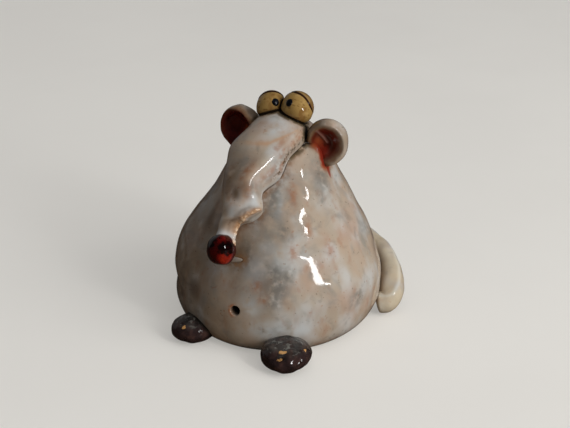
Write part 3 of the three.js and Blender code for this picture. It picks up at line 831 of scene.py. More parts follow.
def cream_glaze(name, relief=GLAZE_RELIEF):
    """Creamy glaze over tan clay: clouded, pooled blue-grey, speckled, and stained brown in the creases, with
    painted shade, painted light and painted highlights where the mesh's numbers call for them.
    """
    finish = Finish(name, CREAM, roughness=0.1)
    finish.cloud_layer(BEIGE, 0.75, 8, 0.38, 0.68, 0.31, detail=2.5, stretch=(1, 1, 2.4))
    finish.cloud_layer(ROSE, 0.45, 14, 0.44, 0.72, 0.83, detail=1.5)
    finish.cloud_layer(PALE_POOL_AND_HIGHLIGHT, 0.66, 11, 0.42, 0.74, 0.12, detail=2, stretch=(1, 1, 1.6))
    finish.cloud_layer(GREY_POOL, 0.6, 10, 0.48, 0.78, 0.57, distortion=0.8)
    finish.cloud_layer(SMUDGE_AND_SHADE, 0.45, 6, 0.56, 0.8, 0.27, distortion=0.6)
    finish.cloud_layer(RUST, 0.28, 4, 0.56, 0.76, 0.44, detail=2.5, stretch=(1, 1, 2.2))
    finish.cloud_layer(RUST, 0.4, 1.8, 0.66, 0.76, 0.18, detail=2)
    finish.cloud_layer(OLIVE, 0.5, 1.2, 0.7, 0.78, 0.91, detail=1)
    ragged = finish.clouds(2.2, 0.25, 0.62, 0.2)
    uneven = finish.clouds(5, 0.25, 0.6, 0.93)
    # Pale pools, and painted light low on the belly
    finish.mark(PALE_POOL_AND_HIGHLIGHT, 0.85, "pool", uneven)
    # Painted shade as a grey veil
    finish.mark(SMUDGE_AND_SHADE, 0.5, "veil", uneven)
    # Grey smudges, some of them painted shadow
    finish.mark(SMUDGE_AND_SHADE, 0.75, "smudge", ragged)
    finish.mark(RUST, 0.6, "rust", ragged)
    # Painted shade in brown
    finish.mark(SHADE_BROWN, 0.9, "shade", finish.clouds(8, 0.05, 0.5, 0.93))
    gap = finish.number("gap")
    finish.layer(TAN, finish.times(finish.fall(gap, 0.6, 4.0), ragged), 0.7)
    finish.layer(STAIN, finish.times(finish.fall(gap, 0.1, 0.65), finish.clouds(7, 0.36, 0.6, 0.66)), 0.75)
    finish.mark(CLAY, 0.95, "ridge", finish.clouds(1.6, 0.1, 0.5, 0.2))
    # Painted highlight: a pale line along the cord's crest
    crest_highlight = finish.rise(finish.number("ridge"), 0.75, 1.0)
    finish.layer(HIGHLIGHT_BUFF, finish.times(crest_highlight, finish.clouds(1.4, 0.35, 0.6, 0.29)), 0.8)
    # Pale pools, and painted highlights along the snout's edge and the tail's ridge
    finish.layer(PALE_POOL_AND_HIGHLIGHT, finish.number("rim"), 0.7)
    finish.mark(OLIVE, 0.85, "speck", finish.clouds(1.1, 0.5, 0.6, 0.77, detail=1))
    crease = finish.times(finish.number("crease"), finish.clouds(3, 0.2, 0.5, 0.47))
    finish.layer(OLIVE, finish.rise(crease, 0.05, 0.5), 0.8)
    finish.layer(SOOT, finish.rise(crease, 0.5, 1.0), 0.95)
    socket = finish.plus(finish.number("socket"), finish.clouds(2.5, 0.2, 0.8, 0.35))
    finish.layer(OLIVE, finish.fall(socket, 1.2, 3.0), 0.7)
    finish.layer(SOOT, finish.fall(socket, 1.0, 1.7), 0.95)
    finish.roughen(finish.clouds(5, 0.35, 0.7, 0.7), 0.05, 0.13)
    finish.height(finish.clouds(2.6, 0.3, 0.7, 0.15, detail=1), relief)
    return finish


def tail_finish():
    """The cream glaze, thicker and yellower."""
    finish = cream_glaze("tail_glaze")
    finish.cloud_layer(YELLOW_CREAM, 0.6, 9, 0.25, 0.6, 0.41)
    return finish.done()


def body_finish():
    """The cream glaze with the ears' red run onto the head, and the vent's pit painted dark as painted shade,
    with a rusty edge.
    """
    finish = cream_glaze("body_glaze")
    run = finish.times(finish.number("blush"), finish.clouds(3, 0.1, 0.5, 0.37))
    finish.layer(EMBER, finish.rise(run, 0.02, 0.5), 0.7)
    finish.layer(BLOOD, finish.rise(run, 0.25, 0.85), 0.95)
    finish.layer(BLOOD, finish.rise(finish.number("drip"), 0.2, 0.7), 0.8)
    finish.mark(RUST, 0.9, "edge", finish.clouds(2, 0.3, 0.6, 0.5))
    # Painted shade filling the vent's pit
    finish.layer(PIT_SHADE, finish.number("pit"))
    return finish.done()


def ear_finish():
    """The cream glaze outside, brown over the rim, maroon in the hollow, bright red where that runs out."""
    finish = cream_glaze("ear_glaze")
    waver = finish.times(finish.clouds(4, 0.2, 0.8, 0.52), 0.25)
    hollow = finish.plus(finish.number("hollow"), waver)
    finish.layer(RIM_BROWN, finish.rise(hollow, 0.05, 0.4), 0.8)
    finish.layer(RUSSET, finish.rise(hollow, 0.3, 0.8), 0.95)
    finish.layer(MAROON, finish.rise(hollow, 0.6, 1.1))
    dark = finish.times(finish.rise(hollow, 0.9, 1.15), finish.clouds(5, 0.35, 0.6, 0.61))
    finish.layer(DARK_MAROON, dark, 0.6)
    glow = finish.times(finish.number("glow"), finish.clouds(3, 0.1, 0.5, 0.77))
    finish.layer(BLOOD, finish.rise(glow, 0.1, 0.6), 0.95)
    finish.layer(EMBER, finish.number("ember"), 0.85)
    finish.layer(FOLD_PINK, finish.number("fold"), 0.6)
    return finish.done()


def nose_finish():
    """Deep red glaze, nearly black in patches and in painted shade, with an orange-red glow of painted light
    on the side toward the window.
    """
    finish = Finish("red_glaze", CRIMSON, roughness=0.07)
    waver = finish.times(finish.clouds(2.6, 0.2, 0.8, 0.23, distortion=0.6), 0.45)
    # Painted light: brighter orange-red on the side toward the window
    glow = finish.less(finish.number("glow"), waver)
    finish.layer(RED, finish.rise(glow, -0.15, 0.55))
    finish.layer(LIT_ORANGE_RED, finish.rise(glow, 0.4, 1.0), 0.85)
    ragged = finish.times(finish.clouds(1.8, 0.25, 0.75, 0.71, distortion=0.8), 0.7)
    # Black patches, and painted shade on the far side
    dark = finish.less(finish.number("shade"), ragged)
    finish.layer(RED_BLACK, finish.rise(dark, -0.1, 0.55), 0.97)
    finish.cloud_layer(RED_FLECK, 0.6, 1.3, 0.58, 0.72, 0.4)
    finish.height(finish.clouds(2.5, 0.3, 0.7, 0.6, detail=1), 0.01)
    return finish.done()


def eye_finish():
    """Ochre glaze, browner in clouds, dark where the eye meets the clay around it."""
    finish = Finish("ochre_glaze", OCHRE, roughness=0.07)
    finish.cloud_layer(PALE_OCHRE, 0.7, 4, 0.5, 0.7, 0.2)
    finish.cloud_layer(BROWN_OCHRE, 0.8, 4.5, 0.47, 0.68, 0.65)
    finish.cloud_layer(STREAK, 0.55, 1.2, 0.56, 0.68, 0.33, stretch=(2.5, 1, 1))
    gap = finish.number("gap")
    finish.layer(SOCKET_BROWN, finish.fall(gap, 0.5, 2.2), 0.6)
    finish.layer(SOCKET_BLACK, finish.fall(gap, 0.5, 1.1), 0.96)
    finish.height(finish.clouds(2, 0.3, 0.7, 0.9, detail=1), 0.008)
    return finish.done()


def lid_finish():
    """The ochre glaze, run off to a dark maroon line along the lid's edge."""
    finish = Finish("lid_glaze", LID_OCHRE, roughness=0.08)
    finish.cloud_layer(LID_BROWN, 0.85, 3, 0.42, 0.66, 0.3)
    finish.layer(LID_MAROON, finish.number("edge"), 0.95)
    return finish.done()


def pupil_finish():
    """Black glaze with a cold blue depth."""
    finish = Finish("black_glaze", BLUE_BLACK, roughness=0.3)
    finish.cloud_layer(COLD_BLUE, 0.8, 1.2, 0.5, 0.75, 0.35)
    return finish.done()


def foot_finish():
    """Dark purple-brown glaze, greenish-grey where it is thin, with a painted grey sheen over its top and
    painted warm highlights, nearly black in the creases.
    """
    finish = Finish("brown_glaze", PURPLE_BROWN, roughness=0.06)
    finish.cloud_layer(WARM_BROWN, 0.75, 3.5, 0.46, 0.7, 0.14)
    # Greenish-grey over its top: thin glaze, and partly painted sheen
    finish.mark(GREEN_GREY, 0.35, "top", finish.clouds(3, 0.3, 0.6, 0.62))
    finish.cloud_layer(FOOT_BLACK, 0.7, 5, 0.42, 0.72, 0.4)
    # Painted sheen: grey streaks over its top
    finish.mark(SHEEN_GREY, 0.35, "top", finish.clouds(2.4, 0.56, 0.66, 0.27, stretch=(1, 1, 0.35)))
    # Painted warm highlights
    gold = finish.less(finish.number("gold"), finish.clouds(1.6, 0.2, 0.8, 0.83))
    finish.layer(WARM_GLINT, finish.rise(gold, 0.0, 0.35), 0.9)
    finish.layer(FOOT_STAIN, finish.fall(finish.number("gap"), 0.4, 2.4), 0.85)
    finish.roughen(finish.clouds(3, 0.35, 0.7, 0.7), 0.03, 0.08)
    finish.height(finish.clouds(1.8, 0.3, 0.7, 0.1, detail=1), 0.1)
    return finish.done()


def clay_finish():
    """Bare fired clay with fettling marks and grog."""
    finish = Finish("bare_clay", FIRED_CLAY, roughness=0.85)
    finish.cloud_layer(DARK_CLAY, 0.7, 9, 0.4, 0.7, 0.3)
    finish.cloud_layer(PALE_GROG, 0.6, 0.9, 0.62, 0.72, 0.8, detail=1)
    finish.cloud_layer(DARK_GROG, 0.6, 0.7, 0.66, 0.74, 0.5, detail=1)
    finish.height(finish.clouds(1.1, 0.3, 0.7, 0.25), 0.12)
    return finish.done()


# Pieces. Each maker gives points, faces and the numbers its finish reads.

def body():
    """Pear-shaped body with hand marks, the navel's pit and a recess under the foot."""
    recess = BASE_RADIUS - RIM_WIDTH
    steps = np.arange(len(PROFILE))
    vent_row = np.argmin(np.abs(PROFILE[:, 1] - VENT_HEIGHT)) / steps[-1]
    at = clustered(0, 1, vent_row, *BODY_ROWS) * steps[-1]
    turns = np.radians(clustered(VENT_AZIMUTH - 180, VENT_AZIMUTH + 180, VENT_AZIMUTH, *BODY_TURNS))[:-1]
    under = np.array([
        (0, RECESS_DEPTH),
        (recess - RECESS_RING, RECESS_DEPTH),
        (recess, RECESS_DEPTH),
        (recess, FOOT_EDGE),
        (recess + FOOT_EDGE, 0),
        (BASE_RADIUS - FOOT_LIP, 0),
    ])
    face, out = (
        np.stack([np.interp(at, steps, table[:, k]) for k in range(2)], axis=1)
        for table in (PROFILE, PROFILE_OUT)
    )
    face[0, 1] = FOOT_EDGE
    section = np.vstack([under, face])
    ways = np.vstack([np.zeros_like(under), out])
    on_face = np.concatenate([np.zeros(len(under)), np.ones(len(face))])
    last = len(section) - 1
    vent = near_body(VENT_AZIMUTH, VENT_HEIGHT)

    def from_vent(points):
        """Distance from the vent's axis in its radii, and whether a point lies in front."""
        aside = np.hypot(points[..., 0] - vent[0], points[..., 2] - vent[2])
        return aside / VENT_RADIUS, points[..., 1] < 0

    def place(along, around):
        row = np.rint(along * last).astype(int)
        radius, height = section[row, 0] + 0 * around, section[row, 1] + 0 * around
        azimuth = np.degrees(around)
        pressed = np.where((on_face[row] > 0) & (radius > 0), pressed_in(azimuth, height), 0)
        point = heading(azimuth) * (radius - pressed)[..., None]
        point[..., 1] += lean_at(height)
        point[..., 2] = height
        away = heading(azimuth) * ways[row, :1]
        away[..., 2] = ways[row, 1]
        swell = swell_of(point, LUMPS["body"])
        for spot in CALM_SPOTS:
            swell = swell * (1 - mark_at(azimuth, height, *spot))
        point = point + away * (on_face[row] * smoothstep(height, *LUMPS_START) * swell)[..., None]
        aside, in_front = from_vent(point)
        deep = in_front * on_face[row] * fade(aside, *VENT_WALL)
        return point - away * (VENT_DEPTH * deep)[..., None]

    points, faces = closed_skin(np.arange(last + 1) / last, turns, place)
    aside, in_front = from_vent(points)
    height = points[:, 2]
    azimuth = np.degrees(np.arctan2(points[:, 0], lean_at(height) - points[:, 1]))
    numbers = {key: marked(marks, azimuth, height) for key, marks in GLAZE_MARKS.items()}
    # Painted shade: darker, browner glaze away from the window and along the ground
    dim = DIM_DEPTH * between(-azimuth, *DIM_SIDE) * fade(height, *DIM_TOP)
    foot_shade = FOOT_SHADE_DEPTH * fade(height, *FOOT_SHADE_HEIGHTS)
    numbers["shade"] = np.maximum.reduce([numbers["shade"], dim, foot_shade])
    numbers["drip"] = bump(azimuth, *DRIP_AZIMUTH) * between(height, *DRIP_HEIGHTS)
    # Where the vent's pit gets painted shade
    numbers["pit"] = in_front * fade(aside, *VENT_SHADE)
    to_right = smoothstep(vent[0] - points[:, 0], *VENT_RUST_SIDE)
    numbers["edge"] = in_front * bump(aside, *VENT_RUST) * to_right
    return points, faces, numbers


def base_disc():
    """Round clay disc with softened edges, set in flush."""
    radius = BASE_RADIUS - RIM_WIDTH - DISC_PLAY
    section = np.array([
        (0, DISC_DISH),
        (radius / 2, DISC_DISH * 2 / 3),
        (radius - DISC_RING, 0),
        (radius - DISC_EDGE, DISC_DISH / 3),
        (radius, DISC_EDGE),
        (radius, DISC_THICKNESS - DISC_EDGE),
        (radius - DISC_EDGE, DISC_THICKNESS),
        (radius / 2, DISC_THICKNESS),
        (0, DISC_THICKNESS),
    ])

    def place(along, around):
        spot = spline(section, along)
        height = np.clip(spot[..., 1], 0, DISC_THICKNESS) + 0 * around
        return np.stack([spot[..., 0] * np.cos(around), spot[..., 0] * np.sin(around), height], axis=-1)

    points, faces, _, _ = even_skin("base_disc", place)
    return points, faces, {}


def nose_centre():
    return before_chest(*NOSE_PLACE)


def nose():
    """Ball of red with painted light low on its left, toward the window, and black patches with painted shade
    on its right.
    """
    ways, faces = ball_skin("nose")

    def patches(spots):
        """How strongly any of a list of patches shows at each point."""
        return np.maximum.reduce([
            depth * smoothstep(ways @ heading(azimuth, elevation), math.cos(math.radians(spread)), 1)
            for azimuth, elevation, spread, depth in spots
        ])

    points = lumpy(ways * NOSE_RADIUS * np.array(NOSE_SHAPE), faces, "nose")
    return points + nose_centre(), faces, {"glow": patches(NOSE_LIT_PATCHES), "shade": patches(NOSE_DARKS_AND_SHADE)}


def band_along(station, turn, depth, place, spread, *stations):
    """How strongly a band along the snout shows at each point."""
    return depth * bump(turn, place, spread) * between(station, *stations)


def keeled_section():
    """How the snout's section departs from an oval, by turn from the keel: flat on both sides of it."""
    turn = np.arange(-180.0, 180.0)
    change = np.zeros_like(turn)
    for span in (-FACET_SPAN, FRONT_SPAN):
        share = turn / span
        keel_part = (1 + KEEL_RISE) * np.sin(np.radians(abs(span) * share))
        edge_part = np.sin(np.radians(abs(span) * (1 - share)))
        flat = (1 + KEEL_RISE) * math.sin(math.radians(abs(span))) / np.maximum(keel_part + edge_part, 1e-6)
        change = np.where((share >= 0) & (share <= 1), flat - 1, change)
    reach = 3 * KEEL_SOFTNESS
    weights = bump(np.arange(-reach, reach + 1), 0, KEEL_SOFTNESS)
    return turn, np.convolve(change, weights / weights.sum(), mode="same")


def snout():
    """Drooping snout: broad under the eyes, keeled, creased above its knuckle, thin before the nose."""
    stations = np.array(SNOUT_STATIONS) * np.array(SNOUT_SCALE)
    line = [before_chest(*station[:3]) for station in stations]
    sizes = [tuple(station[3:]) for station in stations] + [(SNOUT_TIP_RADIUS, SNOUT_TIP_RADIUS)]
    tip = nose_centre()
    line.append(tip - unit(tip - line[-1]) * NOSE_OVERHANG)
    legs = len(line) - 1
    keel_line, ridge_line, brow_line = (np.array(way).T for way in (SNOUT_KEEL, SNOUT_RIDGE, SNOUT_BROW))
    section_turn, section_change = keeled_section()

    def relief(along, around):
        """Station and turn of each point, its turn from the keel, and whether it is on or beside the cord."""
        station, turn = along * legs, (np.degrees(around) + 90) % 360 - 90
        shifts = np.linspace(-KEEL_EASE, KEEL_EASE, KEEL_EASE_STEPS)
        from_keel = turn - np.mean([np.interp(station + shift, *keel_line) for shift in shifts], axis=0)
        width = RIDGE_WIDTH + RIDGE_WIDENING * smoothstep(station, *RIDGE_WIDENS)
        from_ridge = (turn - np.interp(station, *ridge_line)) / width
        begun = smoothstep(station, *RIDGE_START)
        ridge = bump(from_ridge, 0, 1) * begun
        cord_shade = bump(np.abs(from_ridge), *CORD_SHADE_BANDS) * begun
        return station, turn, from_keel, ridge, cord_shade

    def place(along, around):
        station, turn, from_keel, ridge, _ = relief(along, around)
        shape = 1 + between(station, *KEEL_RANGE) * np.interp(from_keel, section_turn, section_change)
        point, way = roll_along(line, sizes, LEFTWARDS, SNOUT_END, along, around, SNOUT_STEADY, shape)
        lift = RIDGE_HEIGHT * ridge + COLLAR_HEIGHT * bump(station, legs - COLLAR_PLACE, COLLAR_REACH)
        lift = lift - mark_at(station, turn, *CREASE) + mark_at(station, turn, *KNUCKLE)
        return point + way * lift[..., None]

    points, faces, along, around = even_skin("snout", place)
    station, turn, from_keel, ridge, cord_shade = relief(along, around)
    numbers = {key: marked(marks, station, turn) for key, marks in SNOUT_MARKS.items()}
    worn = band_along(station, from_keel, *WORN_KEEL)
    from_brow = station - np.interp(turn, *brow_line[::-1])
    brow = BROW_WEAR * bump(from_brow, 0, BROW_REACH) * bump(turn, *BROW_TURN)
    numbers["ridge"] = np.maximum.reduce([worn, brow, ridge])
    # Painted shade beside the cord
    numbers["shade"] = np.minimum(numbers["shade"] + CORD_SHADE_DEPTH * cord_shade, 1)
    # Painted highlight along the edge on the window's side
    edge = band_along(station, turn, *EDGE_HIGHLIGHT)
    collar = bump(station, legs - PALE_PLACE, PALE_REACH)
    numbers["rim"] = np.maximum.reduce([numbers["rim"], edge, collar])
    numbers["speck"] = band_along(station, turn, *OLIVE_SPECKS)
    twist = ripple(points, *RIDGE_GRAIN) * np.append(ridge.ravel(), [0, 0])
    twisted = normals_of(points, faces) * twist[:, None]
    points = lumpy(points, faces, "snout") + RIDGE_TWIST * twisted
    return seat(points), faces, ring_numbers(numbers)


def lower_lip():
    """Short roll under the nose, its ends bent up."""
    centre = before_chest(*LIP_PLACE)

    def place(along, around):
        point = sphere_way(along, around) * np.array([LIP_RADIUS, LIP_RADIUS, LIP_HALF_WIDTH])
        point = point[..., ::-1].copy()
        point[..., 2] += LIP_BEND * point[..., 0] ** 2
        return point + centre

    points, faces = ball_skin("lip", place)
    return seat(lumpy(points, faces, "lip")), faces, {"smudge": LIP_SMUDGE, "shade": LIP_SHADE}


def eye_centre(side):
    sign, radius, _ = EYES[side]
    return np.array([sign * (radius - EYE_PRESS), LEAN_BACK, CROWN_HEIGHT - EYE_SINK + radius])


def eye_sag(sign, ways):
    """The way in which an eye sags, outwards and down, and how far it does so at each of its points."""
    droop = unit(np.array(EYE_DROOP) * np.array([sign, 1, 1]))
    return droop, EYE_SAG * np.maximum(ways @ droop, 0) ** 2


def against_other(points, sign, gap):
    """Points kept on their own side of the plane between the eyes."""
    kept = points.copy()
    kept[:, 0] = sign * np.maximum(sign * points[:, 0], gap)
    return kept


def eyeball(side):
    """Ball that sags a little, pressed against its twin."""
    sign, radius, _ = EYES[side]
    ways, faces = ball_skin("eyeball")
    droop, sag = eye_sag(sign, ways)
    points = lumpy(ways * radius + droop * sag[:, None], faces, "eyeball", sign)
    return seat(against_other(points + eye_centre(side), sign, EYE_GAP)), faces, {}


def pupil(side):
    """Domed button let into its eye."""
    sign, radius, gaze = EYES[side]
    sight = heading(*gaze)
    first, second = frame_about(sight)
    _, sag = eye_sag(sign, sight)
    middle = eye_centre(side) + sight * (radius + sag + PUPIL_PROUD - PUPIL_DEPTH)

    def place(along, around):
        way = sphere_way(along, around)
        return (
            middle
            + first * (way[..., :1] * PUPIL_RADIUS)
            + second * (way[..., 1:2] * PUPIL_RADIUS * PUPIL_TALL)
            + sight * (way[..., 2:] * PUPIL_DEPTH)
        )

    points, faces = ball_skin("pupil", place)
    return lumpy(points, faces, "pupil"), faces, {}


def eyelid(side):
    """Thin cap of clay over the back of an eye, with a rolled edge."""
    sign, radius, _ = EYES[side]
    facing = heading(*LID_TILT) * np.array([sign, 1, 1])
    first, second = frame_about(facing)
    over, rounding, under = LID_ROWS
    widest = math.acos(LID_SETBACK / radius)
    inner, outer = radius - LID_OVERLAP, radius + LID_THICKNESS
    middle, half = (outer + inner) / 2, (outer - inner) / 2
    edge_turn = np.linspace(0, math.pi, rounding + 2)[1:-1]
    rolled = widest + np.sin(edge_turn) * half / radius
    sweep = np.concatenate([np.linspace(0, widest, over), rolled, np.linspace(widest, 0, under)])
    reach = np.concatenate([np.full(over, outer), middle + half * np.cos(edge_turn), np.full(under, inner)])
    last = len(sweep) - 1

    def place(along, around):
        row = np.rint(along * last).astype(int)
        wave = 1 + LID_WAVE * np.sin(LID_WAVES * around + sign) * (sweep[row] / widest)
        angle = (sweep[row] * wave)[..., None]
        way = facing * np.cos(angle) + round_way(first, second, around) * np.sin(angle)
        return eye_centre(side) + way * (reach[row] + 0 * around)[..., None]

    points, faces = closed_skin(np.arange(last + 1) / last, even_turns(LID_TURNS), place)
    row = np.repeat(np.arange(1, last), LID_TURNS)
    return seat(against_other(points, sign, LID_GAP)), faces, ring_numbers({"edge": between(row, *LID_LINE)})


def ear_centre(side):
    sign, azimuth, drop, stand_off = EARS[side][:4]
    return near_body(sign * azimuth, CROWN_HEIGHT - drop, stand_off)


def ear(side):
    """Cupped ear with a thick rolled rim, luted to the side of the head."""
    sign, _, _, _, half_width, hollow_shift, foot_taper = EARS[side]
    start, end = (np.array(spot) for spot in FOLD_ENDS)
    open_turn = EAR_OPEN if side == "left" else 180 - EAR_OPEN

    def opened(around):
        """How far the rim runs out into the head, from 0 to 1."""
        return bump(wrapped(np.degrees(around) - open_turn), 0, EAR_OPEN_SPREAD)

    def fold_at(x, z):
        """How near a point of the hollow is to the fold, from 0 to 1."""
        if side == "right":
            return 0 * x
        leg = end - start
        t = np.clip(((x - start[0]) * leg[0] + (z - start[1]) * leg[1]) / (leg @ leg), 0, 1)
        return bump(np.hypot(x - start[0] - t * leg[0], z - start[1] - t * leg[1]), 0, FOLD_WIDTH)

    def place(along, around):
        spot = spline(EAR_SECTIONS[side] + EAR_BACK, along)
        share, deep = spot[..., 0] + 0 * around, spot[..., 1] + 0 * around
        run_out = opened(around)
        deep = np.where(deep < 0, deep * (1 - run_out), deep) + EAR_OPEN_DEPTH * run_out * share
        x = share * half_width * np.cos(around)
        z = share * EAR_HALF_LENGTH * np.sin(around)
        inside = (along < EAR_FRONT) * fade(share, *EAR_HOLLOW)
        x = x + sign * hollow_shift * inside
        low = smoothstep(-z / EAR_HALF_LENGTH, *EAR_FOOT)
        x = x * (1 - foot_taper * low) - sign * EAR_FOOT_SHIFT * foot_taper * low
        return np.stack([x, deep - FOLD_HEIGHT * fold_at(x, z) * inside, z], axis=-1)

    points, faces, along, around = even_skin("ear", place)
    run_out_red = EAR_OPEN_RED * opened(around) * fade(along, *EAR_OPEN_PAINT)
    red = np.maximum(fade(along, *EAR_PAINT[side]), run_out_red)
    red = np.append(red.ravel(), [1, 0])
    # Darker brown on the rims, partly painted shade
    shade = sum(
        depth * bump(wrapped(np.degrees(around) - turn), 0, reach) for turn, reach, depth in EAR_SHADES[side]
    )
    numbers = ring_numbers({"shade": shade})
    across, up = sign * points[:, 0], points[:, 2]
    numbers["hollow"] = red
    numbers["fold"] = fold_at(points[:, 0], up) * (red > FOLD_RED)
    numbers["glow"] = red * mark_at(across, up, *GLOW_SPOT)
    numbers["ember"] = red * mark_at(across, up, *EMBER_SPOT)
    points = lumpy(points, faces, "ear", sign)
    return seat(points @ spin_of(sign * EAR_TURN).T + ear_centre(side)), faces, numbers


def foot(side):
    """Rounded lump of clay pressed flat on the ground, its front edge a little lobed."""
    azimuth, reach, turn, half_width, half_length, half_height = FEET[side]
    centre = heading(azimuth) * (BASE_RADIUS + reach) + UPWARDS * (half_height - FOOT_FLAT)
    half_sizes = np.array([half_width, half_length, half_height])
    ways, faces = ball_skin("foot")
    # Where the painted warm highlights lie
    gold = np.maximum.reduce([
        bump(ways @ heading(glint_azimuth, elevation), 1, 1 - math.cos(math.radians(spread)))
        for glint_azimuth, elevation, spread in WARM_GLINT_SPOTS[side]
    ])
    points = (ways * half_sizes) @ spin_of(turn).T
    points = seat(lumpy(points, faces, "foot", azimuth) + centre)
    points[:, 2] = np.maximum(points[:, 2], 0)
    return points, faces, {"top": smoothstep(points[:, 2] / half_height, *FOOT_TOP), "gold": gold}


def tail():
    """Flattened roll that hooks round the left side, with a soft ridge along its outer edge."""
    stations = np.array(TAIL_STATIONS) * np.array((1,) + TAIL_SCALE)
    line = near_body(stations[:, 0], stations[:, 1], stations[:, 2])

    def place(along, around):
        point, way = roll_along(line, stations[:, 3:], UPWARDS, TAIL_BLUNT, along, around)
        ridge = TAIL_RIDGE * bump(wrapped(np.degrees(around)), TAIL_RIDGE_TURN, TAIL_RIDGE_SPREAD)
        return point + way * ridge[..., None]

    points, faces, along, around = even_skin("tail", place)
    points = seat(lumpy(points, faces, "tail"))
    points[:, 2] = np.maximum(points[:, 2], TAIL_CLEAR)
    turn = wrapped(np.degrees(around))
    hook = smoothstep(along, *TAIL_HOOK)
    pool = TAIL_POOL + TAIL_HOOK_POOL * hook * (1 + bump(turn, *TAIL_POOL_TURN))
    # Painted shade on its inner side
    inside = bump(turn, *TAIL_SHADE_TURN) * fade(along, *TAIL_SHADE_END)
    shade = inside * (TAIL_SHADE + TAIL_BEND_SHADE * bump(along, *TAIL_BEND))
    numbers = {
        # The rim number is a painted highlight along the ridge
        "rim": bump(turn, TAIL_RIDGE_TURN, TAIL_HIGHLIGHT_SPREAD),
        "pool": np.minimum(pool, 1),
        "rust": TAIL_RUST * hook * bump(turn, *TAIL_RUST_TURN),
        "shade": np.minimum(shade, 1),
    }
    return points, faces, ring_numbers(numbers)


# Assembly: node, piece, finish, slot, and the neighbours whose joints with it are stained
cream, ear_look = cream_glaze("cream_glaze", SNOUT_RELIEF).done(), ear_finish()
ochre, lids, black, brown = eye_finish(), lid_finish(), pupil_finish(), foot_finish()
PARTS = [
    ("body_shell", body(), body_finish(), "cream_glaze", ("snout", "ear", "tail", "lower", "eyeball")),
    ("base_disc", base_disc(), clay_finish(), "bare_clay", ()),
    ("snout", snout(), cream, "cream_glaze", ("eye", "ear_left")),
    ("nose_ball", nose(), nose_finish(), "red_glaze", ()),
    ("lower_lip", lower_lip(), cream, "cream_glaze", ()),
    ("tail", tail(), tail_finish(), "cream_glaze", ()),
]
for side, other in (("left", "right"), ("right", "left")):
    PARTS += [
        (f"eyeball_{side}", eyeball(side), ochre, "ochre_glaze", ("snout", "body", f"eyeball_{other}")),
        (f"pupil_{side}", pupil(side), black, "black_glaze", ()),
        (f"eyelid_{side}", eyelid(side), lids, "ochre_glaze", ()),
        (f"ear_{side}", ear(side), ear_look, "cream_glaze", ("eye", "snout")),
        (f"foot_{side}", foot(side), brown, "brown_glaze", ("body",)),
    ]


def skins_of(starts, node=None):
    """Points and faces of the pieces whose names begin with any of the starts, apart from one node's."""
    return [entry[1][:2] for entry in PARTS if entry[0] != node and entry[0].startswith(starts)]


def crease_distance(points, others):
    """Distance in millimetres from each point to the nearest other piece, up to a few."""
    if not others:
        return np.full(len(points), JOINT_FAR)
    corners = []
    polygons = []
    for other_points, other_faces in others:
        start = len(corners)
        corners += other_points.tolist()
        polygons += [[start + v for v in face] for face in other_faces]
    tree = BVHTree.FromPolygons(corners, polygons)
    found = [tree.find_nearest(point, JOINT_FAR)[3] for point in points.tolist()]
    return np.array([JOINT_FAR if distance is None else distance for distance in found])


for node, (points, faces, values), look, slot, neighbours in PARTS:
    x, y, z = points.T
    values["gap"] = crease_distance(points, skins_of(neighbours, node))
    values["crease"] = smoothstep(z, *CREASE_START) * fade(values["gap"], *CREASE_END)
    eyes = [] if node.startswith(("eye", "pupil")) else skins_of("eye")
    values["socket"] = crease_distance(points, eyes)
    if node == "body_shell":
        in_front = smoothstep(x, *BLUSH_SIDE) * smoothstep(-y, *BLUSH_FRONT) * bump(z, *BLUSH_HEIGHT)
        values["blush"] = in_front * fade(crease_distance(points, skins_of("ear")), *BLUSH_END)
    make("rat_" + node, points, faces, look, node, slot, **values)

# Floor: it looks paler than it lights the clay, and darker where the glaze mirrors it
FLOOR_HALF = 4.0
FLOOR_GLOW = 0.45
FLOOR_CLOUDS = (160, 0.4, 0.6)
FLOOR_CLOUD_STRENGTH = 0.15
FLOOR_LIT = srgb(160, 141, 118)
FLOOR_MIRRORED = srgb(72, 54, 40)
FLOOR_SEEN = srgb(196, 193, 187)
FLOOR_CLOUD = srgb(176, 172, 166)
FLOOR_LIGHT = srgb(226, 223, 217)
floor_mesh = bpy.data.meshes.new("floor")
corners = [(x * FLOOR_HALF, y * FLOOR_HALF, 0) for x, y in ((-1, -1), (1, -1), (1, 1), (-1, 1))]
floor_mesh.from_pydata(corners, [], [(0, 1, 2, 3)])
floor_finish = Finish("floor", FLOOR_LIT, roughness=0.6)
rays = add_node(floor_finish.tree, "LightPath", {}).outputs
seen = rays["Is Camera Ray"]
floor_finish.layer(FLOOR_MIRRORED, rays["Is Glossy Ray"])
floor_finish.layer(FLOOR_SEEN, seen)
clouds_seen = floor_finish.times(seen, floor_finish.clouds(*FLOOR_CLOUDS))
floor_finish.layer(FLOOR_CLOUD, clouds_seen, FLOOR_CLOUD_STRENGTH)
feed(floor_finish.tree, FLOOR_LIGHT, floor_finish.shader.inputs["Emission Color"])
glow = floor_finish.times(seen, FLOOR_GLOW)
feed(floor_finish.tree, glow, floor_finish.shader.inputs["Emission Strength"])
floor_mesh.materials.append(floor_finish.done())
floor = bpy.data.objects.new("floor", floor_mesh)
bpy.context.scene.collection.objects.link(floor)

# Light: a window on the animal's left, a dim wall that only the glaze shows, and soft lamps that it doesn't
TARGET = Vector((0, 0, 45 * MM))
LAMP_DISTANCE = 1.4


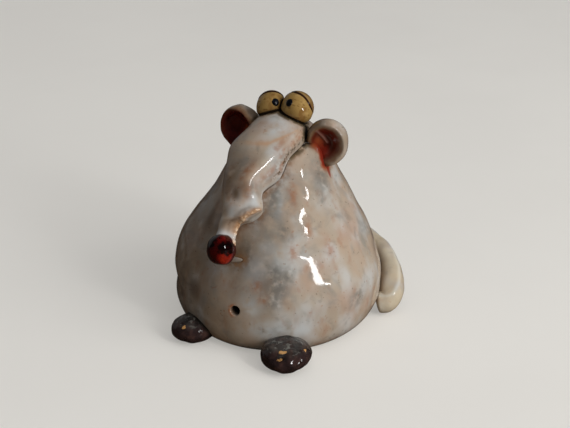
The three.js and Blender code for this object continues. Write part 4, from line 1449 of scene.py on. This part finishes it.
def pane(name, azimuth, elevation, width, height, strength, mirrored=True, lighting=True):
    """A lamp that faces the figurine, with its width and height in degrees as seen from there."""
    lamp = bpy.data.lights.new(name, "AREA")
    lamp.shape = "RECTANGLE"
    lamp.size = 2 * LAMP_DISTANCE * math.tan(math.radians(width / 2))
    lamp.size_y = 2 * LAMP_DISTANCE * math.tan(math.radians(height / 2))
    lamp.energy = strength * math.pi * lamp.size * lamp.size_y
    holder = bpy.data.objects.new(name, lamp)
    way = Vector(heading(azimuth, elevation).tolist())
    holder.location = TARGET + way * LAMP_DISTANCE
    holder.rotation_euler = way.to_track_quat("Z", "Y").to_euler()
    holder.visible_glossy = mirrored
    holder.visible_diffuse = lighting
    bpy.context.scene.collection.objects.link(holder)


pane("window", 69, 25, width=6.5, height=16, strength=22)
pane("wall", -112, 12, width=70, height=44, strength=0.14, lighting=False)
pane("soft_side", 84, 28, width=46, height=46, strength=3.0, mirrored=False)
pane("soft_top", 50, 75, width=50, height=50, strength=0.55, mirrored=False)

# Surround
SURROUND_COLOUR = srgb(206, 208, 212)
SURROUND_LEVEL = 0.26  # lights the clay
SURROUND_CHANGES = {"Is Camera Ray": 0.78, "Is Glossy Ray": -0.22}  # added where it is seen or mirrored
world = bpy.data.worlds.new("surround")
world.use_nodes = True
surround = world.node_tree.nodes["Background"]
surround.inputs["Color"].default_value = SURROUND_COLOUR
rays = add_node(world.node_tree, "LightPath", {}).outputs
level = SURROUND_LEVEL
for kind, change in SURROUND_CHANGES.items():
    inputs = {0: rays[kind], 1: change, 2: level}
    level = add_node(world.node_tree, "Math", inputs, operation="MULTIPLY_ADD").outputs["Value"]
feed(world.node_tree, level, surround.inputs["Strength"])
bpy.context.scene.world = world

# Camera at the photograph's viewing angle
CAMERA_AZIMUTH = 25
CAMERA_ELEVATION = 25
CAMERA_PLACE = (0.2019, -0.4241, 0.2649)
CAMERA_LENS = 75.79
CAMERA_SENSOR = 36
camera_data = bpy.data.cameras.new("camera")
camera_data.lens = CAMERA_LENS
camera_data.sensor_width = CAMERA_SENSOR
camera = bpy.data.objects.new("camera", camera_data)
camera.location = CAMERA_PLACE
camera_way = Vector(heading(CAMERA_AZIMUTH, CAMERA_ELEVATION).tolist())
camera.rotation_euler = camera_way.to_track_quat("Z", "Y").to_euler()
bpy.context.scene.collection.objects.link(camera)
bpy.context.scene.camera = camera

bpy.context.scene.view_settings.view_transform = "Standard"
